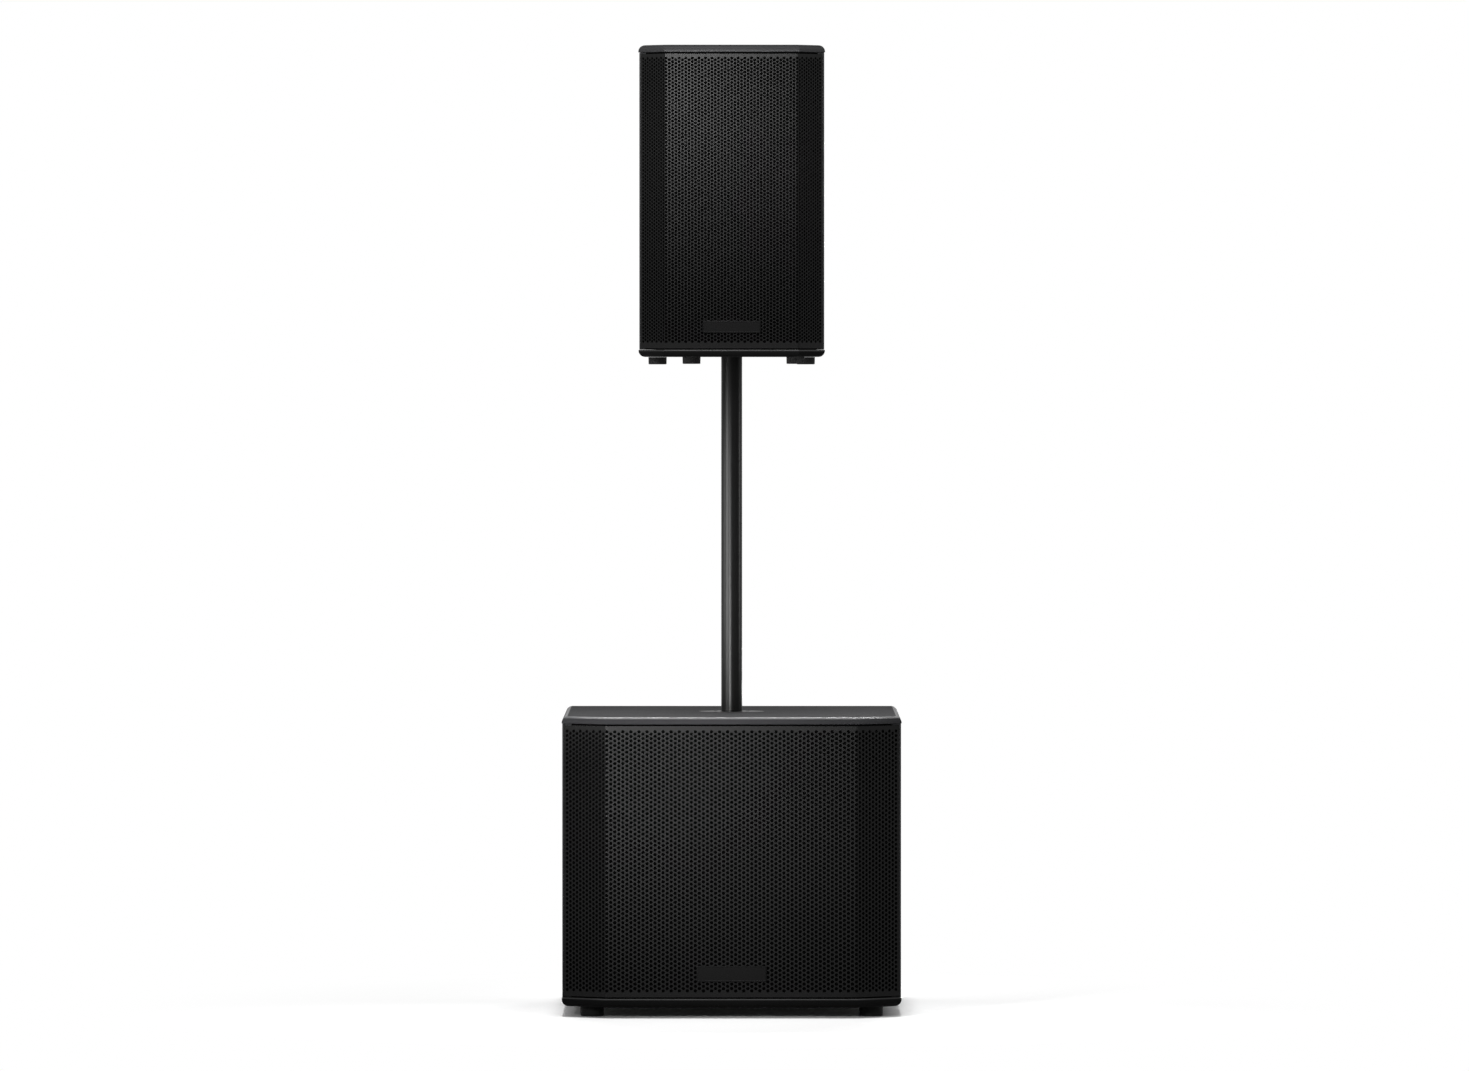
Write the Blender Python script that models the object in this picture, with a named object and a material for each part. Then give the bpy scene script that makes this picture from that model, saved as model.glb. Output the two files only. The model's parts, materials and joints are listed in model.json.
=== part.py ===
"""PA speaker set: a two-way speaker on a pole that stands in a subwoofer.

Metres, +Z up. The grilles face -Y. The origin is on the floor, under the middle of the subwoofer.
"""

import math

import bmesh
import bpy
from mathutils import Matrix, Vector

# Fits
SEAT_GAP = 0.0003
POLE_FIT = 0.0004
CUTOUT_FIT = 0.0015
ROCKER_PLAY = 0.0012
CUTTER_REACH = 0.004

# Cabinet stock, the same on both cabinets
CAP_OVERHANG = 0.001
GRILLE_SETBACK = 0.003
GRILLE_SHEET = 0.0015
GRILLE_LIP = 0.003
GRILLE_HEAD_GROOVE = 0.003
GRILLE_FOOT_GROOVE = 0.0023
FOAM_SHEET = 0.006
BAFFLE_SPACE = 0.010
BAFFLE_BOARD = 0.016
PANEL_REBATE = 0.003
BADGE_SHEET = 0.002
BADGE_CORNER = 0.002

# Woofer stock, the same on both woofers
FRAME_FLANGE = 0.008
FRAME_RIM = 0.012
SURROUND_SEAT = 0.006
SURROUND_WALL = 0.0012
BASKET_WALL = 0.004
BASKET_WINDOWS = 6
BASKET_SPOKE = 0.024
BASKET_RING = 0.018
FRONT_PLATE = 0.010
COIL_WALL = 0.0018
COIL_GAP = 0.0006
CONE_WALL = 0.002
CONE_NECK_RISE = 0.020
DUST_CAP_LAND = 0.010
DUST_CAP_RISE = 0.014
DUST_CAP_HOLLOW = 0.007

# Subwoofer
SUB_PANEL = 0.015
SUB_TOP_PANEL = 0.012
SUB_EDGE_ROUND = 0.011
SUB_DEPTH = 0.580
SUB_FACET_RUN = 0.072
SUB_FACET_SETBACK = 0.050
SUB_FOOT_HEIGHT = 0.017
SUB_FOOT_RADIUS = 0.0195
SUB_FOOT_X = 0.230
SUB_FOOT_FRONT_IN = 0.075
SUB_FOOT_REAR_IN = 0.055
SUB_WOOFER_RADIUS = 0.194
SUB_WOOFER_LAND = 0.0315
SUB_ROLL = 0.022
SUB_COIL_RADIUS = 0.050
SUB_BASKET_DEPTH = 0.110
SUB_MAGNET_RADIUS = 0.095
SUB_MAGNET_HEIGHT = 0.025
SUB_YOKE_PLATE = 0.012
SUB_PORT_SLOT = 0.040
SUB_PORT_WALL = 0.005
SUB_PORT_LENGTH = 0.150
SUB_PORT_END_LAND = 0.024
SUB_PORT_LAND = 0.010
SUB_BADGE_WIDTH = 0.115
SUB_BADGE_HEIGHT = 0.026
SUB_BADGE_RISE = 0.041
SUB_TRAY_WIDTH = 0.300
SUB_TRAY_HEIGHT = 0.200
SUB_HANDLE_BACK = 0.390
SUB_HANDLE_DROP = 0.160

# Pole, and the cups that take it
POLE_RADIUS = 0.0175
POLE_WALL = 0.002
POLE_BEHIND_MIDDLE = 0.015
POLE_SHOWN = 0.591
POLE_IN_SUB = 0.090
POLE_IN_UPPER = 0.080
POLE_CAP_HEAD = 0.006
POLE_CAP_PLUG = 0.020
CUP_WALL = 0.004
CUP_FLANGE_RADIUS = 0.054
CUP_FLANGE = 0.004

# Upper speaker
UPPER_PANEL = 0.012
UPPER_EDGE_ROUND = 0.0105
UPPER_DEPTH = 0.310
UPPER_POLE_BEHIND_FRONT = 0.140
UPPER_FACET_RUN = 0.0425
UPPER_FACET_SETBACK = 0.045
UPPER_LEFT_TAPER = 0.070
UPPER_RIGHT_TAPER = 0.030
UPPER_FOOT_HEIGHT = 0.0123
UPPER_FOOT_RADIUS = 0.0152
UPPER_FRONT_FOOT_X = 0.123
UPPER_FRONT_FOOT_IN = 0.055
UPPER_REAR_LEFT_FOOT_X = -0.0675
UPPER_REAR_RIGHT_FOOT_X = 0.107
UPPER_REAR_FOOT_IN = 0.030
UPPER_WOOFER_RADIUS = 0.130
UPPER_WOOFER_SIDE_LAND = 0.012
UPPER_WOOFER_FOOT_LAND = 0.044
UPPER_ROLL = 0.016
UPPER_COIL_RADIUS = 0.031
UPPER_BASKET_DEPTH = 0.070
UPPER_MOTOR_RADIUS = 0.060
UPPER_MOTOR_HEIGHT = 0.035
UPPER_MOTOR_SLOT = 0.018
HORN_LAND = 0.007
HORN_WIDTH = 0.236
HORN_HEIGHT = 0.160
HORN_HEAD_LAND = 0.022
HORN_RIM = 0.012
HORN_FLANGE = 0.005
HORN_DEPTH = 0.090
HORN_WALL = 0.004
HORN_CORNER = 0.020
HORN_THROAT_ROUND = 0.9
HORN_SECTIONS = 3
THROAT_RADIUS = 0.0127
DRIVER_RADIUS = 0.045
DRIVER_LENGTH = 0.050
DRIVER_NECK_RADIUS = 0.026
DRIVER_NECK = 0.008
UPPER_BADGE_WIDTH = 0.096
UPPER_BADGE_HEIGHT = 0.020
UPPER_BADGE_RISE = 0.038
UPPER_TRAY_WIDTH = 0.130
UPPER_TRAY_HEIGHT = 0.230
UPPER_HANDLE_BACK = 0.185
UPPER_HANDLE_DROP = 0.170

# Feet taper and soften downwards
FOOT_TAPER = 0.0012
FOOT_EDGE = 0.002

# Rear tray and what is on it
TRAY_DEPTH = 0.025
TRAY_SHEET = 0.002
TRAY_FLANGE = 0.012
TRAY_CORNER = 0.008
SOCKET_RADIUS = 0.0115
SOCKET_PITCH = 0.030
SOCKET_DEPTH = 0.016
SOCKET_MARGIN = 0.004
SOCKET_FLANGE = 0.003
CONNECTOR_DEPTH = 0.020
KNOB_RADIUS = 0.010
KNOB_HEIGHT = 0.014
KNOB_EDGE = 0.002
KNOB_SHAFT_RADIUS = 0.003
SHAFT_TAIL = 0.008
BUTTON_RADIUS = 0.004
BUTTON_STAND = 0.005
ROCKER_WIDTH = 0.013
ROCKER_HEIGHT = 0.020
ROCKER_STAND = 0.003
ROCKER_DIP = 0.0015
ROCKER_TAIL = 0.006
ROCKER_TILT = math.radians(7)
INLET_WIDTH = 0.0245
INLET_HEIGHT = 0.0165
INLET_WALL = 0.002
INLET_FLANGE_WIDTH = 0.050
INLET_FLANGE_HEIGHT = 0.024
INLET_FLANGE = 0.0025
INLET_CORNER = 0.003
BOARD_MARGIN = 0.015
BOARD_SHEET = 0.0016
BOARD_POST = 0.006
BOARD_CLEARANCE = 0.004
HEAT_SINK_HEIGHT = 0.030
HEAT_SINK_INSET = 0.012
TRANSFORMER_SIZE = 0.040

# Pocket handles
GRIP_WIDTH = 0.120
GRIP_MOUTH = 0.060
GRIP_RISE = 0.025
GRIP_LIP = 0.014
GRIP_DEPTH = 0.055
GRIP_WALL = 0.003
GRIP_FLANGE = 0.010
GRIP_SHEET = 0.002
GRIP_CORNER = 0.014

# Controls on the rear trays, in from the tray's edges
SUB_HEAD_ROW_IN = 0.045
SUB_FOOT_ROW_IN = 0.040
SUB_SOCKETS_IN = 0.090
SUB_KNOB_IN = 0.090
SUB_BUTTON_IN = 0.045
SUB_SWITCH_IN = 0.100
SUB_INLET_IN = 0.045
UPPER_HEAD_ROW_IN = 0.035
UPPER_KNOB_ROW_IN = 0.095
UPPER_FOOT_ROW_IN = 0.030
UPPER_KNOB_IN = 0.035
UPPER_BUTTON_IN = 0.035
UPPER_SWITCH_IN = 0.025
UPPER_INLET_IN = 0.045
SUB_SOCKETS = 4
UPPER_SOCKETS = 3

# Facets of round pieces
WOOFER_STEPS = 24
POLE_STEPS = 32
FOOT_STEPS = 20
KNOB_STEPS = 16
CORNER_STEPS = 3
EDGE_STEPS = 6
ARC_STEPS = 4
SHARP_ANGLE = math.radians(35)

# Finishes: colour, roughness, metallic
TEXTURED_PAINT = ((0.014, 0.014, 0.015), 0.70, 0.0)
COATED_STEEL = ((0.012, 0.012, 0.013), 0.45, 0.0)
SATIN_TUBE = ((0.012, 0.012, 0.012), 0.35, 0.0)
FOAM = ((0.006, 0.006, 0.006), 1.0, 0.0)
RUBBER = ((0.010, 0.010, 0.010), 0.85, 0.0)
PLASTIC = ((0.012, 0.012, 0.012), 0.50, 0.0)
PLYWOOD = ((0.45, 0.32, 0.19), 0.80, 0.0)
CAST_ALLOY = ((0.30, 0.30, 0.31), 0.50, 1.0)
FERRITE = ((0.05, 0.05, 0.05), 0.70, 0.0)
PLATED_STEEL = ((0.55, 0.55, 0.53), 0.35, 1.0)
PAPER = ((0.02, 0.02, 0.02), 0.90, 0.0)
CIRCUIT = ((0.02, 0.10, 0.04), 0.60, 0.0)

# Edges of a cabinet's plan, counter-clockwise from the front
FRONT, RIGHT_FACET, RIGHT_SIDE, REAR, LEFT_SIDE, LEFT_FACET = range(6)

# Heights and half widths that follow from the sizes above
SUB_INSIDE = 2 * (SUB_WOOFER_RADIUS + SUB_WOOFER_LAND)
SUB_BODY = SUB_PANEL + SUB_INSIDE + SUB_TOP_PANEL
SUB_TOP = SUB_FOOT_HEIGHT + SUB_BODY
SUB_PORT_WIDTH = SUB_PORT_SLOT + 2 * SUB_PORT_WALL
SUB_INSIDE_HALF = SUB_WOOFER_RADIUS + 2 * SUB_PORT_LAND + SUB_PORT_WIDTH
SUB_HALF = SUB_INSIDE_HALF + SUB_PANEL + CAP_OVERHANG
UPPER_BASE = SUB_TOP + POLE_SHOWN
UPPER_WOOFER_Z = UPPER_PANEL + UPPER_WOOFER_FOOT_LAND + UPPER_WOOFER_RADIUS
HORN_Z = UPPER_WOOFER_Z + UPPER_WOOFER_RADIUS + HORN_LAND + HORN_HEIGHT / 2
UPPER_BODY = HORN_Z + HORN_HEIGHT / 2 + HORN_HEAD_LAND + UPPER_PANEL
UPPER_HALF = UPPER_WOOFER_RADIUS + UPPER_WOOFER_SIDE_LAND + UPPER_PANEL + CAP_OVERHANG

# Places on the rear trays: right and up from the tray's middle, seen from behind
SUB_HEAD_ROW = SUB_TRAY_HEIGHT / 2 - SUB_HEAD_ROW_IN
SUB_FOOT_ROW = SUB_FOOT_ROW_IN - SUB_TRAY_HEIGHT / 2
SUB_PLACES = {
    "sockets": (SUB_SOCKETS_IN - SUB_TRAY_WIDTH / 2, SUB_HEAD_ROW),
    "knob": (SUB_TRAY_WIDTH / 2 - SUB_KNOB_IN, SUB_HEAD_ROW),
    "button": (SUB_TRAY_WIDTH / 2 - SUB_BUTTON_IN, SUB_HEAD_ROW),
    "switch": (SUB_TRAY_WIDTH / 2 - SUB_SWITCH_IN, SUB_FOOT_ROW),
    "inlet": (SUB_TRAY_WIDTH / 2 - SUB_INLET_IN, SUB_FOOT_ROW),
}
UPPER_KNOB_ROW = UPPER_TRAY_HEIGHT / 2 - UPPER_KNOB_ROW_IN
UPPER_FOOT_ROW = UPPER_FOOT_ROW_IN - UPPER_TRAY_HEIGHT / 2
UPPER_PLACES = {
    "sockets": (0, UPPER_TRAY_HEIGHT / 2 - UPPER_HEAD_ROW_IN),
    "knob": (UPPER_KNOB_IN - UPPER_TRAY_WIDTH / 2, UPPER_KNOB_ROW),
    "button": (UPPER_TRAY_WIDTH / 2 - UPPER_BUTTON_IN, UPPER_KNOB_ROW),
    "switch": (UPPER_SWITCH_IN - UPPER_TRAY_WIDTH / 2, UPPER_FOOT_ROW),
    "inlet": (UPPER_TRAY_WIDTH / 2 - UPPER_INLET_IN, UPPER_FOOT_ROW),
}


def clear_scene():
    for piece in list(bpy.data.objects):
        bpy.data.objects.remove(piece, do_unlink=True)


def add(name, bm, finish=None, parent=None, location=(0, 0, 0)):
    """Turn a bmesh into a named object with a material of its own."""
    mesh = bpy.data.meshes.new(name)
    bm.to_mesh(mesh)
    bm.free()
    mesh.shade_smooth()
    mesh.set_sharp_from_angle(angle=SHARP_ANGLE)
    piece = bpy.data.objects.new(name, mesh)
    bpy.context.collection.objects.link(piece)
    piece.parent = parent
    piece.location = location
    if finish:
        colour, roughness, metallic = finish
        material = bpy.data.materials.new(name)
        material.use_nodes = True
        shader = material.node_tree.nodes["Principled BSDF"]
        shader.inputs["Base Color"].default_value = (*colour, 1.0)
        shader.inputs["Roughness"].default_value = roughness
        shader.inputs["Metallic"].default_value = metallic
        mesh.materials.append(material)
    return piece


def change(piece, bm, operation):
    """Cut a shape out of a piece, or join one to it; the shape is in the piece's own frame."""
    name = f"{piece.name}_{operation.lower()}_{len(piece.modifiers)}"
    helper = add(name, bm, None, piece.parent, piece.location)
    helper.hide_render = True
    helper.display_type = "WIRE"
    boolean = piece.modifiers.new(helper.name, "BOOLEAN")
    boolean.operation = operation
    boolean.solver = "EXACT"
    boolean.object = helper


def cut(piece, bm):
    change(piece, bm, "DIFFERENCE")


def fuse(piece, bm):
    change(piece, bm, "UNION")


def carrier(name, location, parent=None, normal=None):
    """An empty that carries pieces; with a normal, its Z points out of a wall and its Y points up."""
    empty = bpy.data.objects.new(name, None)
    bpy.context.collection.objects.link(empty)
    empty.parent = parent
    empty.location = location
    if normal:
        out = Vector((*normal, 0.0)).normalized()
        up = Vector((0.0, 0.0, 1.0))
        empty.rotation_euler = Matrix((up.cross(out), up, out)).transposed().to_euler()
    return empty


def face_outwards(bm):
    """Make the faces agree, and turn them all round where they agree on inwards."""
    bmesh.ops.recalc_face_normals(bm, faces=bm.faces)
    if bm.calc_volume(signed=True) < 0:
        bmesh.ops.reverse_faces(bm, faces=bm.faces)
    return bm


def prism(outline, low, high):
    bm = bmesh.new()
    face = bm.faces.new([bm.verts.new((x, y, low)) for x, y in outline])
    made = bmesh.ops.extrude_face_region(bm, geom=[face])
    raised = [item for item in made["geom"] if isinstance(item, bmesh.types.BMVert)]
    bmesh.ops.translate(bm, verts=raised, vec=(0, 0, high - low))
    return face_outwards(bm)


def block(width, height, low, high, centre=(0, 0)):
    x, y = centre
    half_w = width / 2
    half_h = height / 2
    outline = [
        (x - half_w, y - half_h), (x + half_w, y - half_h),
        (x + half_w, y + half_h), (x - half_w, y + half_h),
    ]
    return prism(outline, low, high)


def round_over(bm, level, radius):
    """Round the outline's edges at one level of a prism."""
    rim = [edge for edge in bm.edges if all(abs(vert.co.z - level) < SEAT_GAP for vert in edge.verts)]
    bmesh.ops.bevel(
        bm, geom=rim, offset=radius, affect="EDGES", segments=EDGE_STEPS, profile=0.5, material=-1,
    )
    return bm


def turned(outline, steps):
    """Spin an (r, z) outline about Z; one that starts off the axis is a closed ring."""
    bm = bmesh.new()
    verts = [bm.verts.new((r, 0, z)) for r, z in outline]
    edges = [bm.edges.new(pair) for pair in zip(verts, verts[1:])]
    if outline[0][0] > 0:
        edges.append(bm.edges.new((verts[-1], verts[0])))
    bmesh.ops.spin(
        bm, geom=verts + edges, axis=(0, 0, 1), cent=(0, 0, 0), angle=2 * math.pi, steps=steps,
        use_merge=True,
    )
    bmesh.ops.remove_doubles(bm, verts=bm.verts, dist=1e-6)
    return face_outwards(bm)


def rod(radius, low, high, steps, centre=(0, 0)):
    bm = turned([(0, low), (radius, low), (radius, high), (0, high)], steps)
    bmesh.ops.translate(bm, verts=bm.verts, vec=(*centre, 0))
    return bm


def rounded(width, height, radius, level, centre=(0, 0)):
    """A rounded rectangle as a loop of points."""
    points = []
    for quarter, (side_x, side_y) in enumerate(((1, 1), (-1, 1), (-1, -1), (1, -1))):
        for step in range(CORNER_STEPS + 1):
            angle = (quarter + step / CORNER_STEPS) * math.pi / 2
            x = centre[0] + side_x * (width / 2 - radius) + radius * math.cos(angle)
            y = centre[1] + side_y * (height / 2 - radius) + radius * math.sin(angle)
            points.append((x, y, level))
    return points


def loft(loops, ring=False):
    """Skin a row of equal loops; the ends are filled, or meet where the row is a ring."""
    bm = bmesh.new()
    hoops = [[bm.verts.new(point) for point in loop] for loop in loops]
    after = hoops[1:] + hoops[:1] if ring else hoops[1:]
    for hoop, following in zip(hoops, after):
        for index, vert in enumerate(hoop):
            bm.faces.new((hoop[index - 1], vert, following[index], following[index - 1]))
    if not ring:
        bm.faces.new(hoops[0])
        bm.faces.new(hoops[-1])
    return face_outwards(bm)


def stepped_hole(wide, narrow, step_level, back_level, corner):
    """Cutter for a rounded cutout with a rebate round its mouth."""
    return loft([
        rounded(*wide, corner, CUTTER_REACH),
        rounded(*wide, corner, step_level),
        rounded(*narrow, corner, step_level),
        rounded(*narrow, corner, back_level - CUTTER_REACH),
    ])


def cabinet_outline(half, facet_run, facet_setback, front, depth, left_taper, right_taper):
    """Plan of a cabinet's caps, counter-clockwise from the front's left end."""
    centre = half - facet_run
    facet = front + facet_setback
    rear = front + depth
    return [
        (-centre, front), (centre, front), (half, facet),
        (half - right_taper, rear), (left_taper - half, rear), (-half, facet),
    ]


def inset_line(outline, edge, inset):
    start = Vector(outline[edge])
    along = (Vector(outline[(edge + 1) % len(outline)]) - start).normalized()
    return start + Vector((-along.y, along.x)) * inset, along


def corner(outline, edge_a, inset_a, edge_b, inset_b):
    """Where two edges of a plan meet after each has moved inwards."""
    point_a, along_a = inset_line(outline, edge_a, inset_a)
    point_b, along_b = inset_line(outline, edge_b, inset_b)
    reach = (point_b - point_a).cross(along_b) / along_a.cross(along_b)
    return tuple(point_a + along_a * reach)


def outward(outline, edge):
    along = inset_line(outline, edge, 0)[1]
    return along.y, -along.x


def front_sheet(outline, front, back, end):
    """Plan of a sheet that follows the front and both facets."""
    return [
        corner(outline, LEFT_FACET, front, LEFT_SIDE, end),
        corner(outline, LEFT_FACET, front, FRONT, front),
        corner(outline, FRONT, front, RIGHT_FACET, front),
        corner(outline, RIGHT_FACET, front, RIGHT_SIDE, end),
        corner(outline, RIGHT_FACET, back, RIGHT_SIDE, end),
        corner(outline, FRONT, back, RIGHT_FACET, back),
        corner(outline, LEFT_FACET, back, FRONT, back),
        corner(outline, LEFT_FACET, back, LEFT_SIDE, end),
    ]


def cross_panel(outline, edge, near, far, end):
    """Plan of a flat panel that runs from one side panel to the other."""
    return [
        corner(outline, edge, near, LEFT_SIDE, end),
        corner(outline, edge, near, RIGHT_SIDE, end),
        corner(outline, edge, far, RIGHT_SIDE, end),
        corner(outline, edge, far, LEFT_SIDE, end),
    ]


def side_panel(outline, facet, side, panel):
    """Plan of a side: its front end seats the grille behind a narrow lip."""
    outer = CAP_OVERHANG
    lip = CAP_OVERHANG + GRILLE_LIP
    inner = CAP_OVERHANG + panel
    seat = GRILLE_SETBACK + GRILLE_SHEET + SEAT_GAP
    return [
        corner(outline, facet, GRILLE_SETBACK, side, outer),
        corner(outline, facet, GRILLE_SETBACK, side, lip),
        corner(outline, facet, seat, side, lip),
        corner(outline, facet, seat, side, inner),
        corner(outline, REAR, CAP_OVERHANG, side, inner),
        corner(outline, REAR, CAP_OVERHANG, side, outer),
    ]


def cabinet(name, frame, outline, base, height, panel, top_panel, edge_round, baffle_setback):
    """The six panels, the grille and its foam; returns the panels by name."""
    top = base + height
    low = base + panel
    high = top - top_panel
    inner_end = CAP_OVERHANG + panel + SEAT_GAP
    grille_back = GRILLE_SETBACK + GRILLE_SHEET
    foam_front = grille_back + SEAT_GAP
    walls = {
        "left_side": side_panel(outline, LEFT_FACET, LEFT_SIDE, panel),
        "right_side": side_panel(outline, RIGHT_FACET, RIGHT_SIDE, panel),
        "rear_panel": cross_panel(outline, REAR, CAP_OVERHANG, CAP_OVERHANG + panel, inner_end),
        "baffle": cross_panel(outline, FRONT, baffle_setback, baffle_setback + BAFFLE_BOARD, inner_end),
    }
    lid = round_over(prism(outline, high, top), top, edge_round)
    floor = round_over(prism(outline, base, low), base, edge_round)
    panels = {
        "top_panel": add(f"{name}_top_panel", lid, TEXTURED_PAINT, frame),
        "bottom_panel": add(f"{name}_bottom_panel", floor, TEXTURED_PAINT, frame),
    }
    for wall, plan in walls.items():
        finish = PLYWOOD if wall == "baffle" else TEXTURED_PAINT
        panels[wall] = add(f"{name}_{wall}", prism(plan, low + SEAT_GAP, high - SEAT_GAP), finish, frame)
    grille = front_sheet(outline, GRILLE_SETBACK, grille_back, CAP_OVERHANG + GRILLE_LIP + SEAT_GAP)
    sheet = prism(grille, low + GRILLE_FOOT_GROOVE, high - GRILLE_HEAD_GROOVE)
    add(f"{name}_grille", sheet, COATED_STEEL, frame)
    foam = front_sheet(outline, foam_front, foam_front + FOAM_SHEET, inner_end)
    add(f"{name}_grille_foam", prism(foam, low + SEAT_GAP, high - SEAT_GAP), FOAM, frame)
    return panels


def badge(name, frame, outline, width, height, level):
    face = carrier(f"{name}_badge_place", (0, outline[FRONT][1] + GRILLE_SETBACK, level), frame, (0, -1))
    plate = loft([
        rounded(width, height, BADGE_CORNER, SEAT_GAP),
        rounded(width, height, BADGE_CORNER, SEAT_GAP + BADGE_SHEET),
    ])
    add(f"{name}_badge", plate, COATED_STEEL, face)


def foot(name, frame, x, y, top, radius, height):
    outline = [
        (0, 0), (radius - FOOT_TAPER - FOOT_EDGE, 0), (radius - FOOT_TAPER, FOOT_EDGE),
        (radius, height - SEAT_GAP), (0, height - SEAT_GAP),
    ]
    add(name, turned(outline, FOOT_STEPS), RUBBER, frame, (x, y, top - height))


def pole_cup(name, frame, mouth, depth, panel_piece, panel, inwards):
    """A flanged cup let into a panel, with the hole for it; inwards is +1 up or -1 down from the mouth."""
    bore = POLE_RADIUS + POLE_FIT
    shell = bore + CUP_WALL
    floor = depth + SEAT_GAP
    outline = [
        (0, floor), (bore, floor), (bore, SEAT_GAP), (CUP_FLANGE_RADIUS, SEAT_GAP),
        (CUP_FLANGE_RADIUS, CUP_FLANGE), (shell, CUP_FLANGE),
        (shell, floor + CUP_WALL), (0, floor + CUP_WALL),
    ]
    hole = [
        (0, -CUTTER_REACH), (CUP_FLANGE_RADIUS + SEAT_GAP, -CUTTER_REACH),
        (CUP_FLANGE_RADIUS + SEAT_GAP, CUP_FLANGE + SEAT_GAP), (shell + SEAT_GAP, CUP_FLANGE + SEAT_GAP),
        (shell + SEAT_GAP, panel + CUTTER_REACH), (0, panel + CUTTER_REACH),
    ]
    x, y, z = mouth
    cup = turned([(r, inwards * level) for r, level in outline], POLE_STEPS)
    add(name, cup, PLASTIC, frame, mouth)
    cutter = turned([(r, inwards * level) for r, level in hole], POLE_STEPS)
    bmesh.ops.translate(cutter, verts=cutter.verts, vec=(x, y, z))
    cut(panel_piece, cutter)


def woofer(name, place, frame_r, roll, coil_r, motor_r, depth):
    """Basket, cone and surround about the Z of a carrier on the baffle; returns the cutout's radius."""
    front = SEAT_GAP + FRAME_FLANGE
    cone_r = frame_r - FRAME_RIM - roll
    seat_r = cone_r + roll - SURROUND_SEAT
    former_out = coil_r + COIL_WALL
    bore = former_out + COIL_GAP
    wall_r = motor_r - BASKET_WALL
    basket = add(f"{name}_basket", turned([
        (frame_r, SEAT_GAP), (frame_r, front), (seat_r, front), (seat_r, SEAT_GAP), (wall_r, -depth),
        (bore, -depth), (bore, -depth - FRONT_PLATE), (motor_r, -depth - FRONT_PLATE), (motor_r, -depth),
        (seat_r + BASKET_WALL, SEAT_GAP),
    ], WOOFER_STEPS), CAST_ALLOY, place)
    sector = math.pi / BASKET_WINDOWS
    window = 2 * (wall_r * math.tan(sector) - BASKET_SPOKE / 2 / math.cos(sector))
    spot = ((frame_r + wall_r) / 2, 0)
    for turn in range(BASKET_WINDOWS):
        opening = block(frame_r - wall_r, window, BASKET_RING - depth, -BASKET_RING, spot)
        turned_by = Matrix.Rotation(2 * turn * sector, 3, "Z")
        bmesh.ops.rotate(opening, verts=opening.verts, cent=(0, 0, 0), matrix=turned_by)
        cut(basket, opening)

    neck = CONE_NECK_RISE - depth
    dust_r = former_out + DUST_CAP_LAND
    slope = (front - neck - CONE_WALL) / (cone_r - former_out)
    dust_z = neck + CONE_WALL + DUST_CAP_LAND * slope
    dome = []
    for step in range(ARC_STEPS):
        angle = step / ARC_STEPS * math.pi / 2
        dome.append((dust_r * math.sin(angle), dust_z + DUST_CAP_RISE * math.cos(angle)))
    tail = -depth - FRONT_PLATE
    add(f"{name}_cone", turned(dome + [
        (dust_r, dust_z), (cone_r, front), (cone_r, front - CONE_WALL), (former_out, neck),
        (former_out, tail), (coil_r, tail), (coil_r, neck), (0, dust_z + DUST_CAP_HOLLOW),
    ], WOOFER_STEPS), PAPER, place)

    base = front + SEAT_GAP
    middle = (cone_r + seat_r) / 2
    arch = (seat_r - cone_r) / 2
    outer = []
    inner = []
    for step in range(ARC_STEPS + 1):
        angle = math.pi * (1 - step / ARC_STEPS)
        outer.append((middle + arch * math.cos(angle), base + SURROUND_WALL + arch * math.sin(angle)))
        thin = arch - SURROUND_WALL
        inner.append((middle + thin * math.cos(angle), base + thin * math.sin(angle)))
    add(f"{name}_surround", turned([
        (cone_r - SURROUND_SEAT, base), (cone_r - SURROUND_SEAT, base + SURROUND_WALL), *outer,
        (seat_r + SURROUND_SEAT, base + SURROUND_WALL), (seat_r + SURROUND_SEAT, base), *reversed(inner),
    ], WOOFER_STEPS), RUBBER, place)
    return seat_r + BASKET_WALL + CUTOUT_FIT


def sub_motor(place):
    """Ferrite ring and the yoke whose pole piece stands in the coil."""
    plate_back = -SUB_BASKET_DEPTH - FRONT_PLATE - SEAT_GAP
    magnet_back = plate_back - SUB_MAGNET_HEIGHT
    bore = SUB_COIL_RADIUS + COIL_WALL + DUST_CAP_LAND
    add("sub_woofer_magnet", turned([
        (bore, plate_back), (SUB_MAGNET_RADIUS, plate_back),
        (SUB_MAGNET_RADIUS, magnet_back), (bore, magnet_back),
    ], WOOFER_STEPS), FERRITE, place)
    yoke_front = magnet_back - SEAT_GAP
    yoke_back = yoke_front - SUB_YOKE_PLATE
    pole_r = SUB_COIL_RADIUS - COIL_GAP
    add("sub_woofer_yoke", turned([
        (0, -SUB_BASKET_DEPTH), (pole_r, -SUB_BASKET_DEPTH), (pole_r, yoke_front),
        (SUB_MAGNET_RADIUS, yoke_front), (SUB_MAGNET_RADIUS, yoke_back), (0, yoke_back),
    ], WOOFER_STEPS), PLATED_STEEL, place)


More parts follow.
